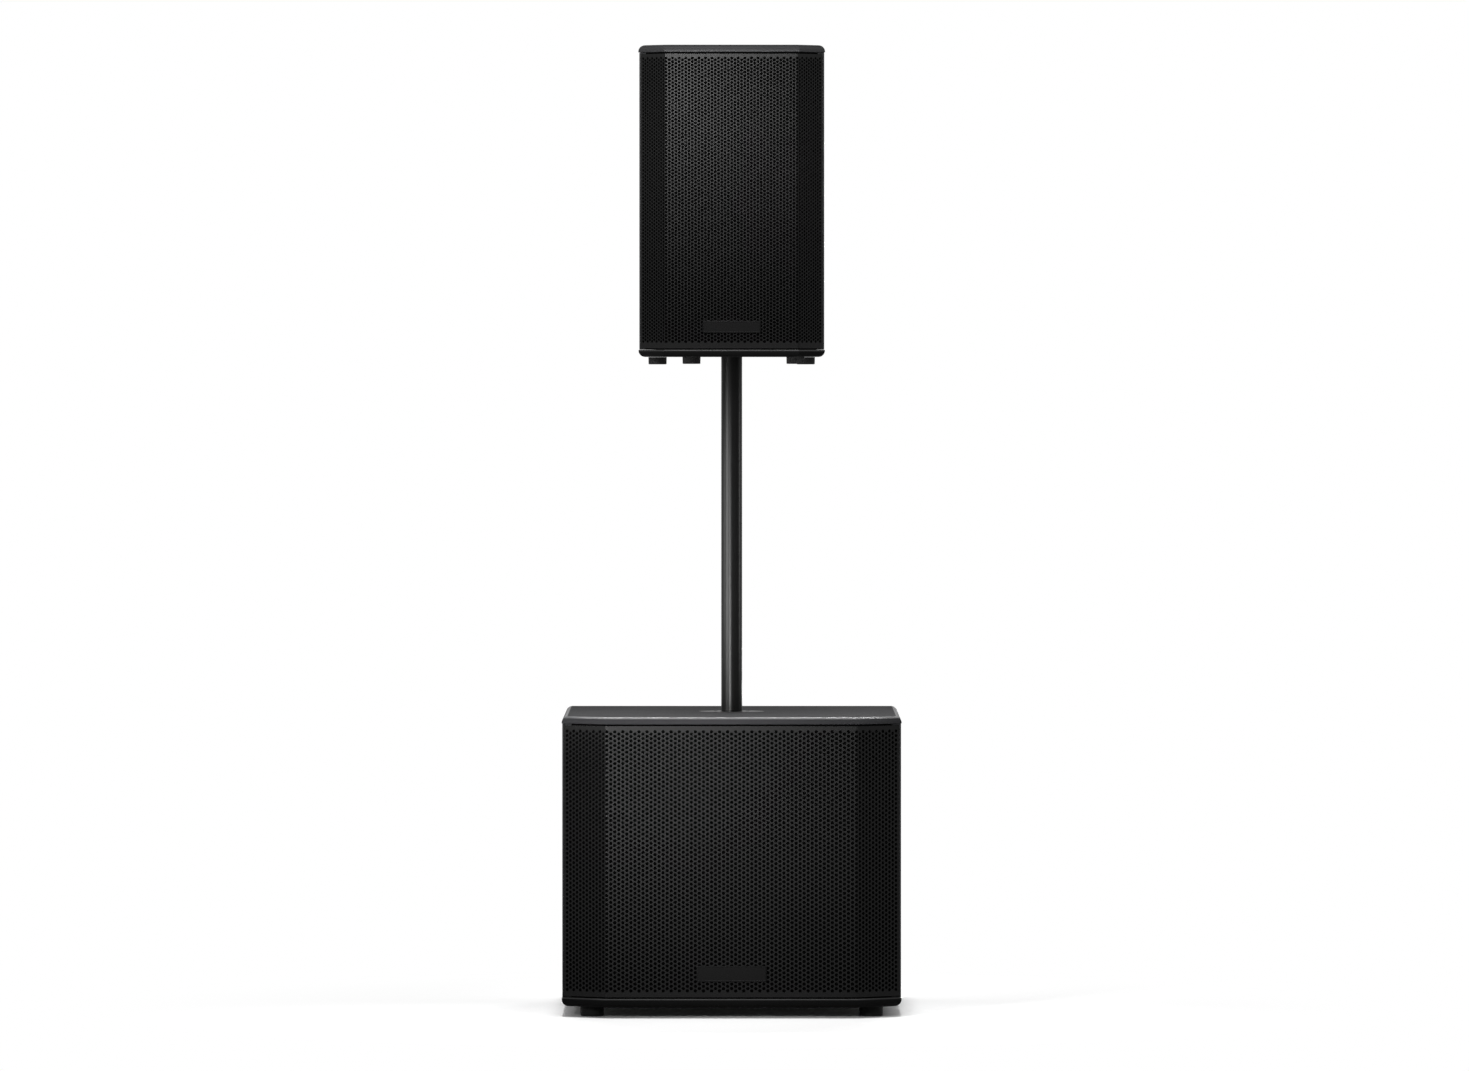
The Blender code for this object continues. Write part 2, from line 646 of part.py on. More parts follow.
def upper_motor(place):
    """Neodymium motor: a steel pot with a slot for the coil."""
    plate_back = -UPPER_BASKET_DEPTH - FRONT_PLATE - SEAT_GAP
    pole_r = UPPER_COIL_RADIUS - COIL_GAP
    slot_r = UPPER_COIL_RADIUS + COIL_WALL + COIL_GAP
    add("upper_woofer_motor", turned([
        (0, -UPPER_BASKET_DEPTH), (pole_r, -UPPER_BASKET_DEPTH), (pole_r, plate_back - UPPER_MOTOR_SLOT),
        (slot_r, plate_back - UPPER_MOTOR_SLOT), (slot_r, plate_back), (UPPER_MOTOR_RADIUS, plate_back),
        (UPPER_MOTOR_RADIUS, plate_back - UPPER_MOTOR_HEIGHT), (0, plate_back - UPPER_MOTOR_HEIGHT),
    ], WOOFER_STEPS), PLATED_STEEL, place)


def horn(place):
    """A flared mouth that narrows to a round throat, and its driver; returns the cutout's size."""
    mouth_w = HORN_WIDTH - 2 * HORN_RIM
    mouth_h = HORN_HEIGHT - 2 * HORN_RIM
    flange_front = SEAT_GAP + HORN_FLANGE
    throat = 2 * THROAT_RADIUS
    flare = []
    for section in range(HORN_SECTIONS + 1):
        share = section / HORN_SECTIONS
        spread = (1 - share) ** 2
        width = throat + (mouth_w - throat) * spread
        height = throat + (mouth_h - throat) * spread
        round_end = HORN_THROAT_ROUND * THROAT_RADIUS
        radius = round_end + (HORN_CORNER - round_end) * (1 - share)
        flare.append((width, height, radius, flange_front - share * (HORN_DEPTH + flange_front)))
    inside = [rounded(*section) for section in flare]
    outside = []
    for width, height, radius, level in reversed(flare[1:]):
        outside.append(rounded(width + 2 * HORN_WALL, height + 2 * HORN_WALL, radius + HORN_WALL, level))
    shell_w = mouth_w + 2 * HORN_WALL
    shell_h = mouth_h + 2 * HORN_WALL
    outside.append(rounded(shell_w, shell_h, HORN_CORNER + HORN_WALL, SEAT_GAP))
    outside.append(rounded(HORN_WIDTH, HORN_HEIGHT, HORN_CORNER, SEAT_GAP))
    outside.append(rounded(HORN_WIDTH, HORN_HEIGHT, HORN_CORNER, flange_front))
    add("upper_horn", loft(inside + outside, ring=True), PLASTIC, place)
    front = -HORN_DEPTH - SEAT_GAP
    add("upper_compression_driver", turned([
        (0, front), (DRIVER_NECK_RADIUS, front), (DRIVER_NECK_RADIUS, front - DRIVER_NECK),
        (DRIVER_RADIUS, front - DRIVER_NECK), (DRIVER_RADIUS, front - DRIVER_LENGTH),
        (0, front - DRIVER_LENGTH),
    ], WOOFER_STEPS), FERRITE, place)
    return shell_w + 2 * CUTOUT_FIT, shell_h + 2 * CUTOUT_FIT


def rear_tray(name, wall_frame, wall_piece, wall, size, places, sockets):
    """Amplifier: a dished tray in the rear panel, with its board behind and its controls in the dish."""
    width, height = size
    flange_w = width + 2 * TRAY_FLANGE
    flange_h = height + 2 * TRAY_FLANGE
    shell_w = width + 2 * TRAY_SHEET
    shell_h = height + 2 * TRAY_SHEET
    flange_back = SEAT_GAP - PANEL_REBATE
    flange_front = flange_back + TRAY_SHEET
    floor = flange_front - TRAY_DEPTH
    floor_back = floor - TRAY_SHEET
    tray = add(f"{name}_amp_tray", loft([
        rounded(width, height, TRAY_CORNER, floor), rounded(width, height, TRAY_CORNER, flange_front),
        rounded(flange_w, flange_h, TRAY_CORNER, flange_front),
        rounded(flange_w, flange_h, TRAY_CORNER, flange_back),
        rounded(shell_w, shell_h, TRAY_CORNER, flange_back),
        rounded(shell_w, shell_h, TRAY_CORNER, floor_back),
    ]), COATED_STEEL, wall_frame)
    wide = (flange_w + 2 * SEAT_GAP, flange_h + 2 * SEAT_GAP)
    narrow = (shell_w + 2 * CUTOUT_FIT, shell_h + 2 * CUTOUT_FIT)
    hole = stepped_hole(wide, narrow, -PANEL_REBATE, -wall, TRAY_CORNER)
    bmesh.ops.transform(hole, matrix=wall_frame.matrix_basis, verts=hole.verts)
    cut(wall_piece, hole)

    below = floor_back - CUTTER_REACH
    above = floor + CUTTER_REACH
    face = carrier(f"{name}_control_face", (0, 0, floor), wall_frame)
    socket_block(name, face, places["sockets"], sockets, tray, below, above)
    level_knob(name, face, places["knob"], tray, below, above)
    push_button(name, face, places["button"], tray, below, above)
    power_switch(name, face, places["switch"], tray, below, above)
    mains_inlet(name, face, places["inlet"], tray, below, above)
    amp_board(name, wall_frame, width, height, floor_back)


def socket_block(name, face, place, count, tray, below, above):
    """One moulding with a row of round sockets."""
    width = count * SOCKET_PITCH + 2 * SOCKET_MARGIN
    height = SOCKET_PITCH + 2 * SOCKET_MARGIN
    body_w = count * SOCKET_PITCH
    body_h = SOCKET_PITCH
    front = SEAT_GAP + SOCKET_FLANGE
    piece = add(f"{name}_socket_block", loft([
        rounded(width, height, SOCKET_MARGIN, front), rounded(width, height, SOCKET_MARGIN, SEAT_GAP),
        rounded(body_w, body_h, SOCKET_MARGIN, SEAT_GAP),
        rounded(body_w, body_h, SOCKET_MARGIN, -CONNECTOR_DEPTH),
    ]), PLASTIC, face, (*place, 0))
    for index in range(count):
        x = (index - (count - 1) / 2) * SOCKET_PITCH
        cut(piece, rod(SOCKET_RADIUS, front - SOCKET_DEPTH, front + CUTTER_REACH, KNOB_STEPS, (x, 0)))
    cut(tray, block(body_w + 2 * SEAT_GAP, body_h + 2 * SEAT_GAP, below, above, place))


def level_knob(name, face, place, tray, below, above):
    outline = [
        (0, -SHAFT_TAIL), (KNOB_SHAFT_RADIUS, -SHAFT_TAIL), (KNOB_SHAFT_RADIUS, SEAT_GAP),
        (KNOB_RADIUS, SEAT_GAP), (KNOB_RADIUS, KNOB_HEIGHT - KNOB_EDGE),
        (KNOB_RADIUS - KNOB_EDGE, KNOB_HEIGHT), (0, KNOB_HEIGHT),
    ]
    add(f"{name}_level_knob", turned(outline, KNOB_STEPS), PLASTIC, face, (*place, 0))
    cut(tray, rod(KNOB_SHAFT_RADIUS + SEAT_GAP, below, above, KNOB_STEPS, place))


def push_button(name, face, place, tray, below, above):
    stem = rod(BUTTON_RADIUS, -SHAFT_TAIL, BUTTON_STAND, KNOB_STEPS)
    add(f"{name}_mode_button", stem, PLASTIC, face, (*place, 0))
    cut(tray, rod(BUTTON_RADIUS + SEAT_GAP, below, above, KNOB_STEPS, place))


def power_switch(name, face, place, tray, below, above):
    """A rocker that tips about X in a cutout of the tray; it rests tipped to off."""
    half = ROCKER_HEIGHT / 2
    outline = [
        (-half, ROCKER_STAND), (0, ROCKER_STAND - ROCKER_DIP), (half, ROCKER_STAND),
        (half, 0), (0, -ROCKER_TAIL), (-half, 0),
    ]
    bm = prism(outline, -ROCKER_WIDTH / 2, ROCKER_WIDTH / 2)
    upright = Matrix(((0, 0, 1), (1, 0, 0), (0, 1, 0)))
    tipped = Matrix.Rotation(-ROCKER_TILT, 3, "X") @ upright
    bmesh.ops.rotate(bm, verts=bm.verts, cent=(0, 0, 0), matrix=tipped)
    add(f"{name}_power_switch", bm, PLASTIC, face, (*place, 0))
    cut(tray, block(ROCKER_WIDTH + 2 * SEAT_GAP, ROCKER_HEIGHT + 2 * ROCKER_PLAY, below, above, place))


def mains_inlet(name, face, place, tray, below, above):
    """Three-pole inlet: a recess in a flanged body."""
    front = SEAT_GAP + INLET_FLANGE
    body_w = INLET_WIDTH + 2 * INLET_WALL
    body_h = INLET_HEIGHT + 2 * INLET_WALL
    add(f"{name}_mains_inlet", loft([
        rounded(INLET_WIDTH, INLET_HEIGHT, INLET_CORNER, INLET_WALL - CONNECTOR_DEPTH),
        rounded(INLET_WIDTH, INLET_HEIGHT, INLET_CORNER, front),
        rounded(INLET_FLANGE_WIDTH, INLET_FLANGE_HEIGHT, INLET_CORNER, front),
        rounded(INLET_FLANGE_WIDTH, INLET_FLANGE_HEIGHT, INLET_CORNER, SEAT_GAP),
        rounded(body_w, body_h, INLET_CORNER, SEAT_GAP),
        rounded(body_w, body_h, INLET_CORNER, -CONNECTOR_DEPTH),
    ]), PLASTIC, face, (*place, 0))
    cut(tray, block(body_w + 2 * SEAT_GAP, body_h + 2 * SEAT_GAP, below, above, place))


def amp_board(name, wall_frame, width, height, floor_back):
    """Circuit board on four posts, with its heat sink and transformer on the far side."""
    board_w = width - 2 * BOARD_MARGIN
    board_h = height - 2 * BOARD_MARGIN
    front = floor_back - CONNECTOR_DEPTH - BOARD_CLEARANCE
    back = front - BOARD_SHEET
    middle = (front + back) / 2
    piece = add(f"{name}_amp_board", block(board_w, board_h, back, front), CIRCUIT, wall_frame)
    for side_x in (-1, 1):
        for side_y in (-1, 1):
            spot = (side_x * (board_w - BOARD_POST) / 2, side_y * (board_h - BOARD_POST) / 2)
            fuse(piece, block(BOARD_POST, BOARD_POST, middle, floor_back - SEAT_GAP, spot))
    sink = (board_w - 2 * HEAT_SINK_INSET, TRANSFORMER_SIZE)
    core = (TRANSFORMER_SIZE, TRANSFORMER_SIZE)
    quarter = board_h / 4
    fuse(piece, block(*sink, back - HEAT_SINK_HEIGHT, middle, (0, quarter)))
    fuse(piece, block(*core, back - TRANSFORMER_SIZE, middle, (0, -quarter)))


def pocket_handle(name, wall_frame, wall_piece, wall):
    """A pocket let into a side: the mouth is lower than the pocket, so its upper lip is the grip."""
    pocket = GRIP_MOUTH + GRIP_RISE
    shell_w = GRIP_WIDTH + 2 * GRIP_WALL
    shell_h = pocket + 2 * GRIP_WALL
    flange_w = shell_w + 2 * GRIP_FLANGE
    flange_h = shell_h + 2 * GRIP_FLANGE
    back = SEAT_GAP - PANEL_REBATE
    front = back + GRIP_SHEET
    lip = front - GRIP_LIP
    floor = front - GRIP_DEPTH
    low = (0, -GRIP_RISE / 2)
    add(name, loft([
        rounded(GRIP_WIDTH, pocket, GRIP_CORNER, floor), rounded(GRIP_WIDTH, pocket, GRIP_CORNER, lip),
        rounded(GRIP_WIDTH - 2 * GRIP_WALL, GRIP_MOUTH, GRIP_CORNER, lip, low),
        rounded(GRIP_WIDTH - 2 * GRIP_WALL, GRIP_MOUTH, GRIP_CORNER, front, low),
        rounded(flange_w, flange_h, GRIP_CORNER, front), rounded(flange_w, flange_h, GRIP_CORNER, back),
        rounded(shell_w, shell_h, GRIP_CORNER, back),
        rounded(shell_w, shell_h, GRIP_CORNER, floor - GRIP_WALL),
    ]), PLASTIC, wall_frame)
    wide = (flange_w + 2 * SEAT_GAP, flange_h + 2 * SEAT_GAP)
    narrow = (shell_w + 2 * SEAT_GAP, shell_h + 2 * SEAT_GAP)
    hole = stepped_hole(wide, narrow, -PANEL_REBATE, -wall, GRIP_CORNER)
    bmesh.ops.transform(hole, matrix=wall_frame.matrix_basis, verts=hole.verts)
    cut(wall_piece, hole)


def side_place(name, frame, outline, edge, front_distance, level):
    """A carrier on a side's outer face, at a distance behind the cabinet's front."""
    point, along = inset_line(outline, edge, CAP_OVERHANG)
    y = outline[FRONT][1] + front_distance
    point += along * ((y - point.y) / along.y)
    return carrier(name, (*point, level), frame, outward(outline, edge))


def rear_place(name, frame, outline, level):
    """A carrier in the middle of the rear panel's outer face."""
    x = (outline[REAR][0] + outline[LEFT_SIDE][0]) / 2
    return carrier(name, (x, outline[REAR][1] - CAP_OVERHANG, level), frame, (0, 1))


def subwoofer():
    frame = carrier("sub_frame", (0, 0, 0))
    outline = cabinet_outline(SUB_HALF, SUB_FACET_RUN, SUB_FACET_SETBACK, -SUB_DEPTH / 2, SUB_DEPTH, 0, 0)
    base = SUB_FOOT_HEIGHT
    setback = SUB_FACET_SETBACK + BAFFLE_SPACE
    panels = cabinet("sub", frame, outline, base, SUB_BODY, SUB_PANEL, SUB_TOP_PANEL, SUB_EDGE_ROUND, setback)
    badge("sub", frame, outline, SUB_BADGE_WIDTH, SUB_BADGE_HEIGHT, base + SUB_PANEL + SUB_BADGE_RISE)
    foot_rows = (("front", SUB_FOOT_FRONT_IN - SUB_DEPTH / 2), ("rear", SUB_DEPTH / 2 - SUB_FOOT_REAR_IN))
    for end, y in foot_rows:
        for side, x in (("left", -SUB_FOOT_X), ("right", SUB_FOOT_X)):
            foot(f"sub_foot_{end}_{side}", frame, x, y, base, SUB_FOOT_RADIUS, SUB_FOOT_HEIGHT)
    mouth = (0, POLE_BEHIND_MIDDLE, SUB_TOP)
    pole_cup("sub_pole_cup", frame, mouth, POLE_IN_SUB, panels["top_panel"], SUB_TOP_PANEL, -1)

    inside_middle = base + SUB_PANEL + SUB_INSIDE / 2
    face = carrier("sub_baffle_face", (0, outline[FRONT][1] + setback, inside_middle), frame, (0, -1))
    cutout = woofer(
        "sub_woofer", face, SUB_WOOFER_RADIUS, SUB_ROLL, SUB_COIL_RADIUS, SUB_MAGNET_RADIUS, SUB_BASKET_DEPTH)
    sub_motor(face)
    openings = [rod(cutout, -BAFFLE_BOARD - CUTTER_REACH, CUTTER_REACH, WOOFER_STEPS)]
    duct_h = SUB_INSIDE - 2 * SUB_PORT_END_LAND
    slot_h = duct_h - 2 * SUB_PORT_WALL
    for side, sign in (("left", -1), ("right", 1)):
        spot = (sign * (SUB_INSIDE_HALF - SUB_PORT_LAND - SUB_PORT_WIDTH / 2), 0)
        add(f"sub_port_{side}", loft([
            rounded(SUB_PORT_SLOT, slot_h, SUB_PORT_WALL, 0, spot),
            rounded(SUB_PORT_SLOT, slot_h, SUB_PORT_WALL, -SUB_PORT_LENGTH, spot),
            rounded(SUB_PORT_WIDTH, duct_h, SUB_PORT_WALL, -SUB_PORT_LENGTH, spot),
            rounded(SUB_PORT_WIDTH, duct_h, SUB_PORT_WALL, 0, spot),
        ], ring=True), PLASTIC, face)
        hole = (SUB_PORT_WIDTH + 2 * SEAT_GAP, duct_h + 2 * SEAT_GAP)
        openings.append(block(*hole, -BAFFLE_BOARD - CUTTER_REACH, CUTTER_REACH, spot))
    for opening in openings:
        bmesh.ops.transform(opening, matrix=face.matrix_basis, verts=opening.verts)
        cut(panels["baffle"], opening)

    rear = rear_place("sub_rear_face", frame, outline, base + SUB_BODY / 2)
    size = (SUB_TRAY_WIDTH, SUB_TRAY_HEIGHT)
    rear_tray("sub", rear, panels["rear_panel"], SUB_PANEL, size, SUB_PLACES, SUB_SOCKETS)
    for side, edge in (("left", LEFT_SIDE), ("right", RIGHT_SIDE)):
        name = f"sub_handle_{side}"
        place = side_place(f"{name}_place", frame, outline, edge, SUB_HANDLE_BACK, SUB_TOP - SUB_HANDLE_DROP)
        pocket_handle(name, place, panels[f"{side}_side"], SUB_PANEL)


def pole():
    """The tube rests on the floor of the subwoofer's cup; its cap carries the upper speaker."""
    axis = carrier("pole_axis", (0, POLE_BEHIND_MIDDLE, SUB_TOP))
    cap_top = POLE_SHOWN + POLE_IN_UPPER
    cap_seat = cap_top - POLE_CAP_HEAD
    bore = POLE_RADIUS - POLE_WALL
    plug = bore - POLE_FIT
    add("pole_tube", turned([
        (POLE_RADIUS, -POLE_IN_SUB), (POLE_RADIUS, cap_seat - SEAT_GAP), (bore, cap_seat - SEAT_GAP),
        (bore, -POLE_IN_SUB),
    ], POLE_STEPS), SATIN_TUBE, axis)
    add("pole_cap", turned([
        (0, cap_seat - POLE_CAP_PLUG), (plug, cap_seat - POLE_CAP_PLUG), (plug, cap_seat),
        (POLE_RADIUS, cap_seat), (POLE_RADIUS, cap_top - POLE_WALL), (bore, cap_top), (0, cap_top),
    ], POLE_STEPS), PLASTIC, axis)


def upper_speaker():
    frame = carrier("upper_frame", (0, POLE_BEHIND_MIDDLE, UPPER_BASE))
    front = -UPPER_POLE_BEHIND_FRONT
    outline = cabinet_outline(
        UPPER_HALF, UPPER_FACET_RUN, UPPER_FACET_SETBACK, front, UPPER_DEPTH, UPPER_LEFT_TAPER,
        UPPER_RIGHT_TAPER)
    setback = UPPER_FACET_SETBACK + BAFFLE_SPACE
    panels = cabinet(
        "upper", frame, outline, 0, UPPER_BODY, UPPER_PANEL, UPPER_PANEL, UPPER_EDGE_ROUND, setback)
    badge("upper", frame, outline, UPPER_BADGE_WIDTH, UPPER_BADGE_HEIGHT, UPPER_PANEL + UPPER_BADGE_RISE)
    front_y = front + UPPER_FRONT_FOOT_IN
    rear_y = front + UPPER_DEPTH - UPPER_REAR_FOOT_IN
    feet = {
        "front_left": (-UPPER_FRONT_FOOT_X, front_y),
        "front_right": (UPPER_FRONT_FOOT_X, front_y),
        "rear_left": (UPPER_REAR_LEFT_FOOT_X, rear_y),
        "rear_right": (UPPER_REAR_RIGHT_FOOT_X, rear_y),
    }
    for place, (x, y) in feet.items():
        foot(f"upper_foot_{place}", frame, x, y, 0, UPPER_FOOT_RADIUS, UPPER_FOOT_HEIGHT)
    pole_cup("upper_pole_cup", frame, (0, 0, 0), POLE_IN_UPPER, panels["bottom_panel"], UPPER_PANEL, 1)

    baffle_y = front + setback
    face = carrier("upper_woofer_face", (0, baffle_y, UPPER_WOOFER_Z), frame, (0, -1))
    cutout = woofer(
        "upper_woofer", face, UPPER_WOOFER_RADIUS, UPPER_ROLL, UPPER_COIL_RADIUS, UPPER_MOTOR_RADIUS,
        UPPER_BASKET_DEPTH)
    upper_motor(face)
    horn_face = carrier("upper_horn_face", (0, baffle_y, HORN_Z), frame, (0, -1))
    horn_hole = horn(horn_face)
    back = -BAFFLE_BOARD - CUTTER_REACH
    openings = (
        (face, rod(cutout, back, CUTTER_REACH, WOOFER_STEPS)),
        (horn_face, block(*horn_hole, back, CUTTER_REACH)),
    )
    for place, opening in openings:
        bmesh.ops.transform(opening, matrix=place.matrix_basis, verts=opening.verts)
        cut(panels["baffle"], opening)

    rear = rear_place("upper_rear_face", frame, outline, UPPER_BODY / 2)
    size = (UPPER_TRAY_WIDTH, UPPER_TRAY_HEIGHT)
    rear_tray("upper", rear, panels["rear_panel"], UPPER_PANEL, size, UPPER_PLACES, UPPER_SOCKETS)
    place = side_place(
        "upper_handle_place", frame, outline, RIGHT_SIDE, UPPER_HANDLE_BACK, UPPER_BODY - UPPER_HANDLE_DROP)
    pocket_handle("upper_handle", place, panels["right_side"], UPPER_PANEL)


clear_scene()
subwoofer()
pole()
upper_speaker()
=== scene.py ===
"""Looks for the PA speaker set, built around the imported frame.

Metres, +Z up. The grilles face -Y, and the floor is at height 0.
"""

import json
import math

import bmesh
import bpy
from mathutils import Matrix, Vector


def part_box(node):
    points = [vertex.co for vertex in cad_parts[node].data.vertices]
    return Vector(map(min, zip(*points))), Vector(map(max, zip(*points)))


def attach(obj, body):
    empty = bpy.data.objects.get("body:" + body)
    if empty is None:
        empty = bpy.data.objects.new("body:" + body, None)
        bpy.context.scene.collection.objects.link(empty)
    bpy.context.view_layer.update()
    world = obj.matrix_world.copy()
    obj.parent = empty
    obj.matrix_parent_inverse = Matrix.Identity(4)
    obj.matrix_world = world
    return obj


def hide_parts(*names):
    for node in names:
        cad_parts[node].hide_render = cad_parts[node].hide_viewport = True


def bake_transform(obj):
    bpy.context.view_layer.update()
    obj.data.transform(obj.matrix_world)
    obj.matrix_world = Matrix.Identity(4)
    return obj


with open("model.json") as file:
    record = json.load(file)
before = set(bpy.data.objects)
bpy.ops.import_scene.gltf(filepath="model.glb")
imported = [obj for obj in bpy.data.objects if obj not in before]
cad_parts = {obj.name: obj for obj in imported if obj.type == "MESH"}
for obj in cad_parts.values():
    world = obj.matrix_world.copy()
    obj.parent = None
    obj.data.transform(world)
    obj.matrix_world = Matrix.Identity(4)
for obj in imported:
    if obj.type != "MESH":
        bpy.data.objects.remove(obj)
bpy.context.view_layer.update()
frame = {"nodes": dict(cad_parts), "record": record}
nodes = frame["nodes"]
record = frame["record"]

CABINETS = ("sub", "upper")

# Edges: the angle from which one stays sharp, and how far those of the CAD nodes are softened
SMOOTH_ANGLE = math.radians(35)
PLAIN_EDGE = 0.0006
SOFT_EDGES = {"sub_bottom_panel": 0.0025, "upper_bottom_panel": 0.0025}
EDGE_STEPS = 2

# Points that count as one: in a shape, between a sheet's cells, and on the plane of a cut
SAME_POINT = 0.00001
SAME_CORNER = 0.00005
SAME_PLANE = 0.000001

# Photograph: its frame in pixels, and where its camera stands
PHOTO_WIDTH = 1469
SENSOR_WIDTH = 36.0
CAMERA_FOCAL_PIXELS = 11660
CAMERA_PLACE = Vector((0.0047, -19.43, 1.139))
CAMERA_PITCH = 0.01805
CAMERA_REACH = 100

# Fronts: how far a wing runs sideways and back from the flat
FACETS = {"sub": (0.072, 0.050), "upper": (0.0425, 0.045)}

# Grilles: the sheet and its bends, and the holes: their pitch upward and from column to column,
# their radius and rows, and the plain bands over and beside them
SHEET = 0.0015
BEND_RADIUS = 0.005
BEND_STEPS = 4
GRILLE_SETBACK = 0.003
HOLES = {
    "sub": {"pitch": 0.00747, "columns": 0.00662, "hole": 0.0030, "rows": 58, "head": 0.0055, "side": 0.001},
    "upper": {"pitch": 0.00579, "columns": 0.00543, "hole": 0.0026, "rows": 82, "head": 0.0044, "side": 0.001},
}
HOLE_SIDES = 6
BORDER_REACH = 0.0001

# Foam behind the grilles, and dark strips behind their outer edges as painted shade
FOAM_SHEET = 0.0055
FOAM_GRID = (48, 40)
SHADE_STRIP = 0.0002
SHADE_STRIP_GAP = 0.00015

# Screws: the rim, and the driver socket's width, taper and depth as shares of the head
SCREW_RIM = 0.0002
SCREW_SOCKET = 0.5
SCREW_TAPER = 0.9
SCREW_DEPTH = 0.6

# Feet: the bore is a share of the foot, and the screw a share of the bore
FOOT_TAPER = 0.0002
FOOT_EDGE = 0.0014
FOOT_RECESS = 0.005
FOOT_COLLAR = 0.002
FOOT_BORE = 0.45
FOOT_SCREW = 0.8

# Pole, cups and badges
POLE_WALL = 0.002
POLE_CHAMFER = 0.001
POLE_FIT = 0.0004
CUP_WALL = 0.004
CUP_FLANGE = 0.004
CUP_LEAD_IN = 0.001
CUP_RIM = 0.0012
CUP_SCREW = 0.0035
BADGE_CORNER = 0.002
BADGE_CORNER_STEPS = 4
BADGE_EDGE = 0.0004
BADGE_RIM = 0.0012

# Rear plates
TRAY_SHEET = 0.002
FIN_PITCH = 0.008
FIN_SHEET = 0.0016
FIN_EDGE = 0.0005
FIN_BASE = 0.003
FIN_BASE_EDGE = 0.0006
FIN_SINK = 0.0005
FIN_HEIGHT = 0.016
FLANGE_SCREW = 0.0032
FLANGE_SCREW_INSET = 0.006
LAMP_RADIUS = 0.0022
LAMP_COLLAR = 0.0008
LAMP_HEIGHT = 0.0023
LAMP_DOME = 0.0015

# Level knobs: heights over the plate, the pointer's place and length as shares of the grip,
# and the printed scale, whose ticks have a width, length, height and edge
KNOB_CLEARANCE = 0.0008
KNOB_SKIRT = 0.003
KNOB_SKIRT_EDGE = 0.001
KNOB_GRIP_FOOT = 0.0035
KNOB_GRIP_INSET = 0.0015
KNOB_GRIP_TAPER = 0.0006
KNOB_TOP_EDGE = 0.0008
KNOB_RIBS = 18
RIB_WIDTH = 0.0014
RIB_DEPTH = 0.0011
RIB_SINK = 0.0004
RIB_SHORT = 0.0046
RIB_EDGE = 0.0003
POINTER_WIDTH = 0.0009
POINTER_LENGTH = 0.7
POINTER_MIDDLE = 0.6
POINTER_SINK = 0.0003
POINTER_HEIGHT = 0.0005
POINTER_EDGE = 0.0001
SCALE_TICKS = 11
SCALE_SWEEP = math.radians(300)
SCALE_GAP = 0.0035
SCALE_TICK = (0.0007, 0.0025, 0.0002, 0.00005)

# Marks on the rockers: a bar (width, length, height and edge) and a ring (radii and height)
MARK_UP = 0.25
MARK_BAR = (0.0006, 0.0030, 0.0001, 0.00003)
MARK_RING = (0.0011, 0.0017, 0.0001)
RAY_START = 0.01

# Sockets: pins in an output, sleeves (radii and height) in the core of an input, and the latch
# (width, length, height and edge)
SOCKET_RADIUS = 0.0115
SOCKET_DEPTH = 0.016
CONTACTS = 3
CONTACT_CIRCLE = 0.0040
PIN_RADIUS = 0.0012
PIN_LENGTH = 0.012
PIN_TIP = 0.0010
CORE_RADIUS = 0.0092
CORE_HEIGHT = 0.013
CORE_EDGE = 0.0008
CORE_MOUTH = 0.0042
CORE_BORE = 0.0036
CORE_LEAD_IN = 0.001
CORE_FLOOR = 0.003
SLEEVE = (0.0005, 0.0009, 0.0009)
SLEEVE_HEIGHT = 0.0125
SLEEVE_SPREAD = 1.6
LATCH_GAP = 0.0022
LATCH = (0.0070, 0.0026, 0.0010, 0.0003)

# Mains inlets: where the blades stand, and a blade's width, depth, length and edge
INLET_DEPTH = 0.018
BLADES = ((-0.007, -0.002), (0.0, 0.0025), (0.007, -0.002))
BLADE = (0.0020, 0.0040, INLET_DEPTH - 0.004, 0.0006)

# Handles
HANDLE_SCREW = 0.0036
HANDLE_SCREW_INSET = 0.010

# Woofers: the rubber roll round a cone, and the wedges that it is built in
ROLL_LIP = 0.006
ROLL_WALL = 0.0012
ROLL_WEDGES = 16

# Paint rubbed smooth: the panel, its gloss, and how far below its top the band begins and ends
TOP_RUBBED = (("sub_top_panel", 0.7, 0.0004, 0.0032),)
FOOT_RUBBED = (("sub_bottom_panel", 0.35, 0.0, 0.0022), ("upper_bottom_panel", 0.62, 0.0, 0.0022))
RUB_FADE = 0.0003
RUB_ROUGHNESS = 0.42
RUB_LEAST = 0.7
RUB_VARIES = 0.6
RUB_PATCH = 0.02

# Paint left dull on the upper cabinet: how far below its top this begins and is complete
DULL_BELOW = 0.0048
DULL_ABOVE = 0.0028
DULLER = 0.5

# Stage: a floor that turns into the white surround, and the even light from there
SURROUND_LIGHT = 0.45
FLOOR_REACH = 6
FLOOR_DROP = 0.0004
FLOOR_BOUNCE = (0.2, 0.2, 0.2)
FLOOR_NEAR = 0.45
FLOOR_FAR = 1.1
FLOOR_GLOW = 0.0045

